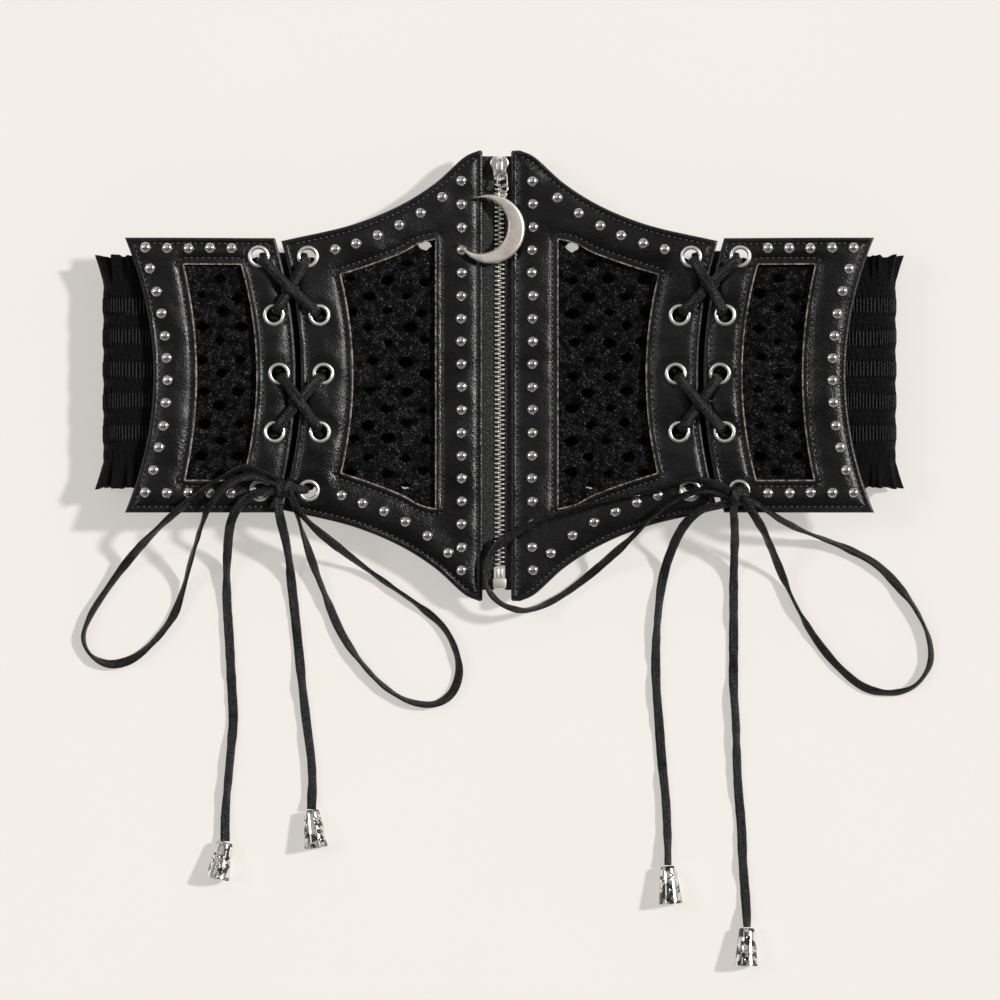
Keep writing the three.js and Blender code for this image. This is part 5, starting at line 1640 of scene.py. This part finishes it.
def crescent():
    """The moon: a soft bevel towards both curves, and a lug for the ring."""
    horn_x = (MOON_INNER ** 2 - MOON_OUTER ** 2 - MOON_SHIFT ** 2) / (2 * MOON_SHIFT)
    horn_y = math.sqrt(MOON_OUTER ** 2 - horn_x ** 2)
    outer_end = math.atan2(horn_y, horn_x)
    inner_end = math.atan2(horn_y, horn_x + MOON_SHIFT)
    outer_turn = np.linspace(-outer_end, outer_end, MOON_ROWS)
    inner_turn = np.linspace(-inner_end, inner_end, MOON_ROWS)
    outer = MOON_OUTER * np.column_stack([np.cos(outer_turn), np.sin(outer_turn)])
    inner = MOON_INNER * np.column_stack([np.cos(inner_turn), np.sin(inner_turn)]) - [MOON_SHIFT, 0]
    width = np.linalg.norm(outer - inner, axis=1)
    edge = np.clip(width * 0.3, 0.01, 0.85)
    shares = np.linspace(0, 1, MOON_ACROSS)
    across = inner[:, None] + (outer - inner)[:, None] * shares[:, None]
    from_edge = np.minimum(shares, 1 - shares) * width[:, None]
    lift = 1 - (1 - np.clip(from_edge / edge[:, None], 0, 1)) ** 2
    thick = np.minimum(0.95, width * 0.5 + MOON_LIP)[:, None]
    height = MOON_LIP + lift * (thick - MOON_LIP) + 0.12 * np.sin(math.pi * shares)
    cosine, sine = math.cos(MOON_TURN), math.sin(MOON_TURN)
    x = across[..., 0] * cosine - across[..., 1] * sine
    y = across[..., 0] * sine + across[..., 1] * cosine
    points, faces = plate(np.stack([x, y, height], axis=2), np.stack([x, y, -height], axis=2))
    heap = Heap()
    heap.add(laid(points + MOON_CENTRE), faces)
    lug = MOON_CENTRE + (MOON_OUTER + LUG_REACH) * HANG
    ring = lug + LUG_RADIUS * around(np.array([1, 0, 0]), np.array([0, 1, 0]), full_turn(32))
    heap.add(*wire_ring(ring, LUG_WIRE_RADIUS))
    heap.piece("moon_metal", SATIN, "pendant_metal", ["moon_pendant"])


for side, sign in SIGNS.items():
    zip_tape(f"{side}_zipper_tape", sign)
zip_chain()
zip_box()
zip_slider()
links()
crescent()


# Lacing through the eyelets, and the knots of the bows
LACE_GAP = 0.3
CROSSING_WIDTH = 4.8
STRAND_STEP = 0.6
IN_HOLE = 0.9
OVER_RIM = 1.7
KNOTS = {"left": (-96.0, -50.0), "right": (106.5, -53.5)}
KNOT_LEVEL = FLANGE_TOP + 0.3 + 3.3
KNOT_SECTION = (3.6, 1.5, 14, 2.6)

# Turns of a knot: axis, half width and half height, shift along the axis and lean
KNOT_TURNS = [
    ((1.0, 0.15, 0.0), 3.5, 2.1, -2.2, 0.1), ((1.0, -0.25, 0.1), 3.7, 2.2, 1.6, 0.35),
    ((0.35, 1.0, 0.1), 4.1, 2.0, -0.4, 0.0), ((0.8, 0.7, -0.1), 3.6, 1.9, 0.6, -0.3),
]

# Eyelets in the order of the lace, C on a centre panel and S on a side panel, counted from above
LACE_ORDER = ["C5", "C4", "S3", "S2", "C1", "S1", "C2", "C3", "S4", "S5"]

# Where the strands start that cross over the others
LACES_ABOVE = {"left": ["C4", "S1"], "right": ["S2", "C3"]}


def eyelet_place(label, sign):
    y = eyelet_y(int(label[1]) - 1)
    x = center_eyelet_x(y) if label[0] == "C" else side_eyelet_x(y)
    return np.array([x * sign, y, 0.0])


def strand(start, end, level, hump, sag):
    """The way of one lace from an eyelet to the next, down into both holes."""
    run = end - start
    along = run / np.linalg.norm(run[:2])
    rim = (FLANGE_TOP if level > 0 else -0.4) + 0.15 * np.sign(level)
    deep = -0.2 if level > 0 else 0.6
    points = [start + along * IN_HOLE + [0, 0, deep], start + along * OVER_RIM + [0, 0, rim]]
    for share in (0.14, 0.26, 0.38, 0.5, 0.62, 0.74, 0.86):
        rise = hump * math.exp(-((share - 0.5) / 0.17) ** 2)
        sideways = sag * math.sin(math.pi * share) * np.array([-along[1], along[0], 0])
        points.append(start + run * share + sideways + [0, 0, level + rise])
    points += [end - along * OVER_RIM + [0, 0, rim], end - along * IN_HOLE + [0, 0, deep]]
    return points


def lace_strand(heap, points, width, seed):
    """Flat lace through the points, a little narrower at both ends."""
    path = laid(smooth_path(points, STRAND_STEP))
    tangent = unit(np.gradient(path, axis=0))
    flat = unit(np.array([path[-1, 0] - path[0, 0], path[-1, 1] - path[0, 1], 0]))
    side = square_to(np.repeat([[flat[1], -flat[0], 0]], len(path), axis=0), tangent)
    run = np.arange(len(path)) * STRAND_STEP
    side, up = rolled(side, np.cross(side, tangent), ripple(run, seed, 22, 0.22))
    ends = np.clip(np.minimum(run, run[-1] - run) / 4.0, 0, 1)
    section = rounded_section(1.0, LACE_THICKNESS + 0.2, LACE_SIDES, 2.3)
    heap.add(*tube(path, side, up, widened(section, (0.72 + 0.28 * ends) * width)))


def lacing(side, sign):
    heap = Heap()
    above = LACES_ABOVE[side]
    for i in range(len(LACE_ORDER) - 1):
        start, end = eyelet_place(LACE_ORDER[i], sign), eyelet_place(LACE_ORDER[i + 1], sign)
        behind = i % 2 == 0
        level = BACK_LACE if behind else FRONT_LACE
        hump = LACE_THICKNESS + LACE_GAP if not behind and LACE_ORDER[i] in above else 0.0
        points = strand(start, end, level, hump, 0.35 * (-1) ** i)
        lace_strand(heap, points, CROSSING_WIDTH, 30 + i)
    knot = np.array([*KNOTS[side], KNOT_LEVEL - 1.2])
    for label, lift in (("C5", 0.0), ("S5", 0.5)):
        hole = eyelet_place(label, sign)
        run = knot - hole
        run[2] = 0
        along = run / max(np.linalg.norm(run), 1e-6)
        points = [
            hole + along * 0.7 + [0, 0, -0.2], hole + along * 1.6 + [0, 0, FLANGE_TOP + 0.1],
            hole + along * min(3.4, np.linalg.norm(run) * 0.5) + [0, 0, FRONT_LACE + 0.2],
            knot - along * 1.5 + [0, 0, lift],
        ]
        lace_strand(heap, points, LACE_WIDTH, 41)
    heap.piece(f"{side}_crossed_laces", LACE, "lace", [f"{side}_lacing"])


def knot_wraps(side):
    """Turns of the lace pulled tight round each other, inside the size of the knot."""
    heap = Heap()
    x, y = KNOTS[side]
    centre = np.array([x, y, float(front_height(x)) + KNOT_LEVEL])
    section = rounded_section(*KNOT_SECTION)
    for axis, wide, tall, shift, lean in KNOT_TURNS:
        axis = unit(np.array(axis) * [-SIGNS[side], 1, 1])
        flat = unit(np.cross([0, 0, 1.0], axis))
        upright = unit(np.cross(axis, flat))
        turn = full_turn(36)
        wave = 0.55 * np.sin(turn + lean * 3)
        line = centre + axis * (shift + wave)[:, None] + around(wide * flat, tall * upright, turn)
        tangent = closed_tangent(line)
        outward = square_to(unit(line - (centre + axis * shift)), tangent)
        across = unit(np.cross(tangent, outward))
        heap.add(*tube(line, across, np.cross(across, tangent), section, True))
    heap.piece(f"{side}_knot_turns", LACE, "lace", [f"{side}_knot"])


for side, sign in SIGNS.items():
    lacing(side, sign)
    knot_wraps(side)
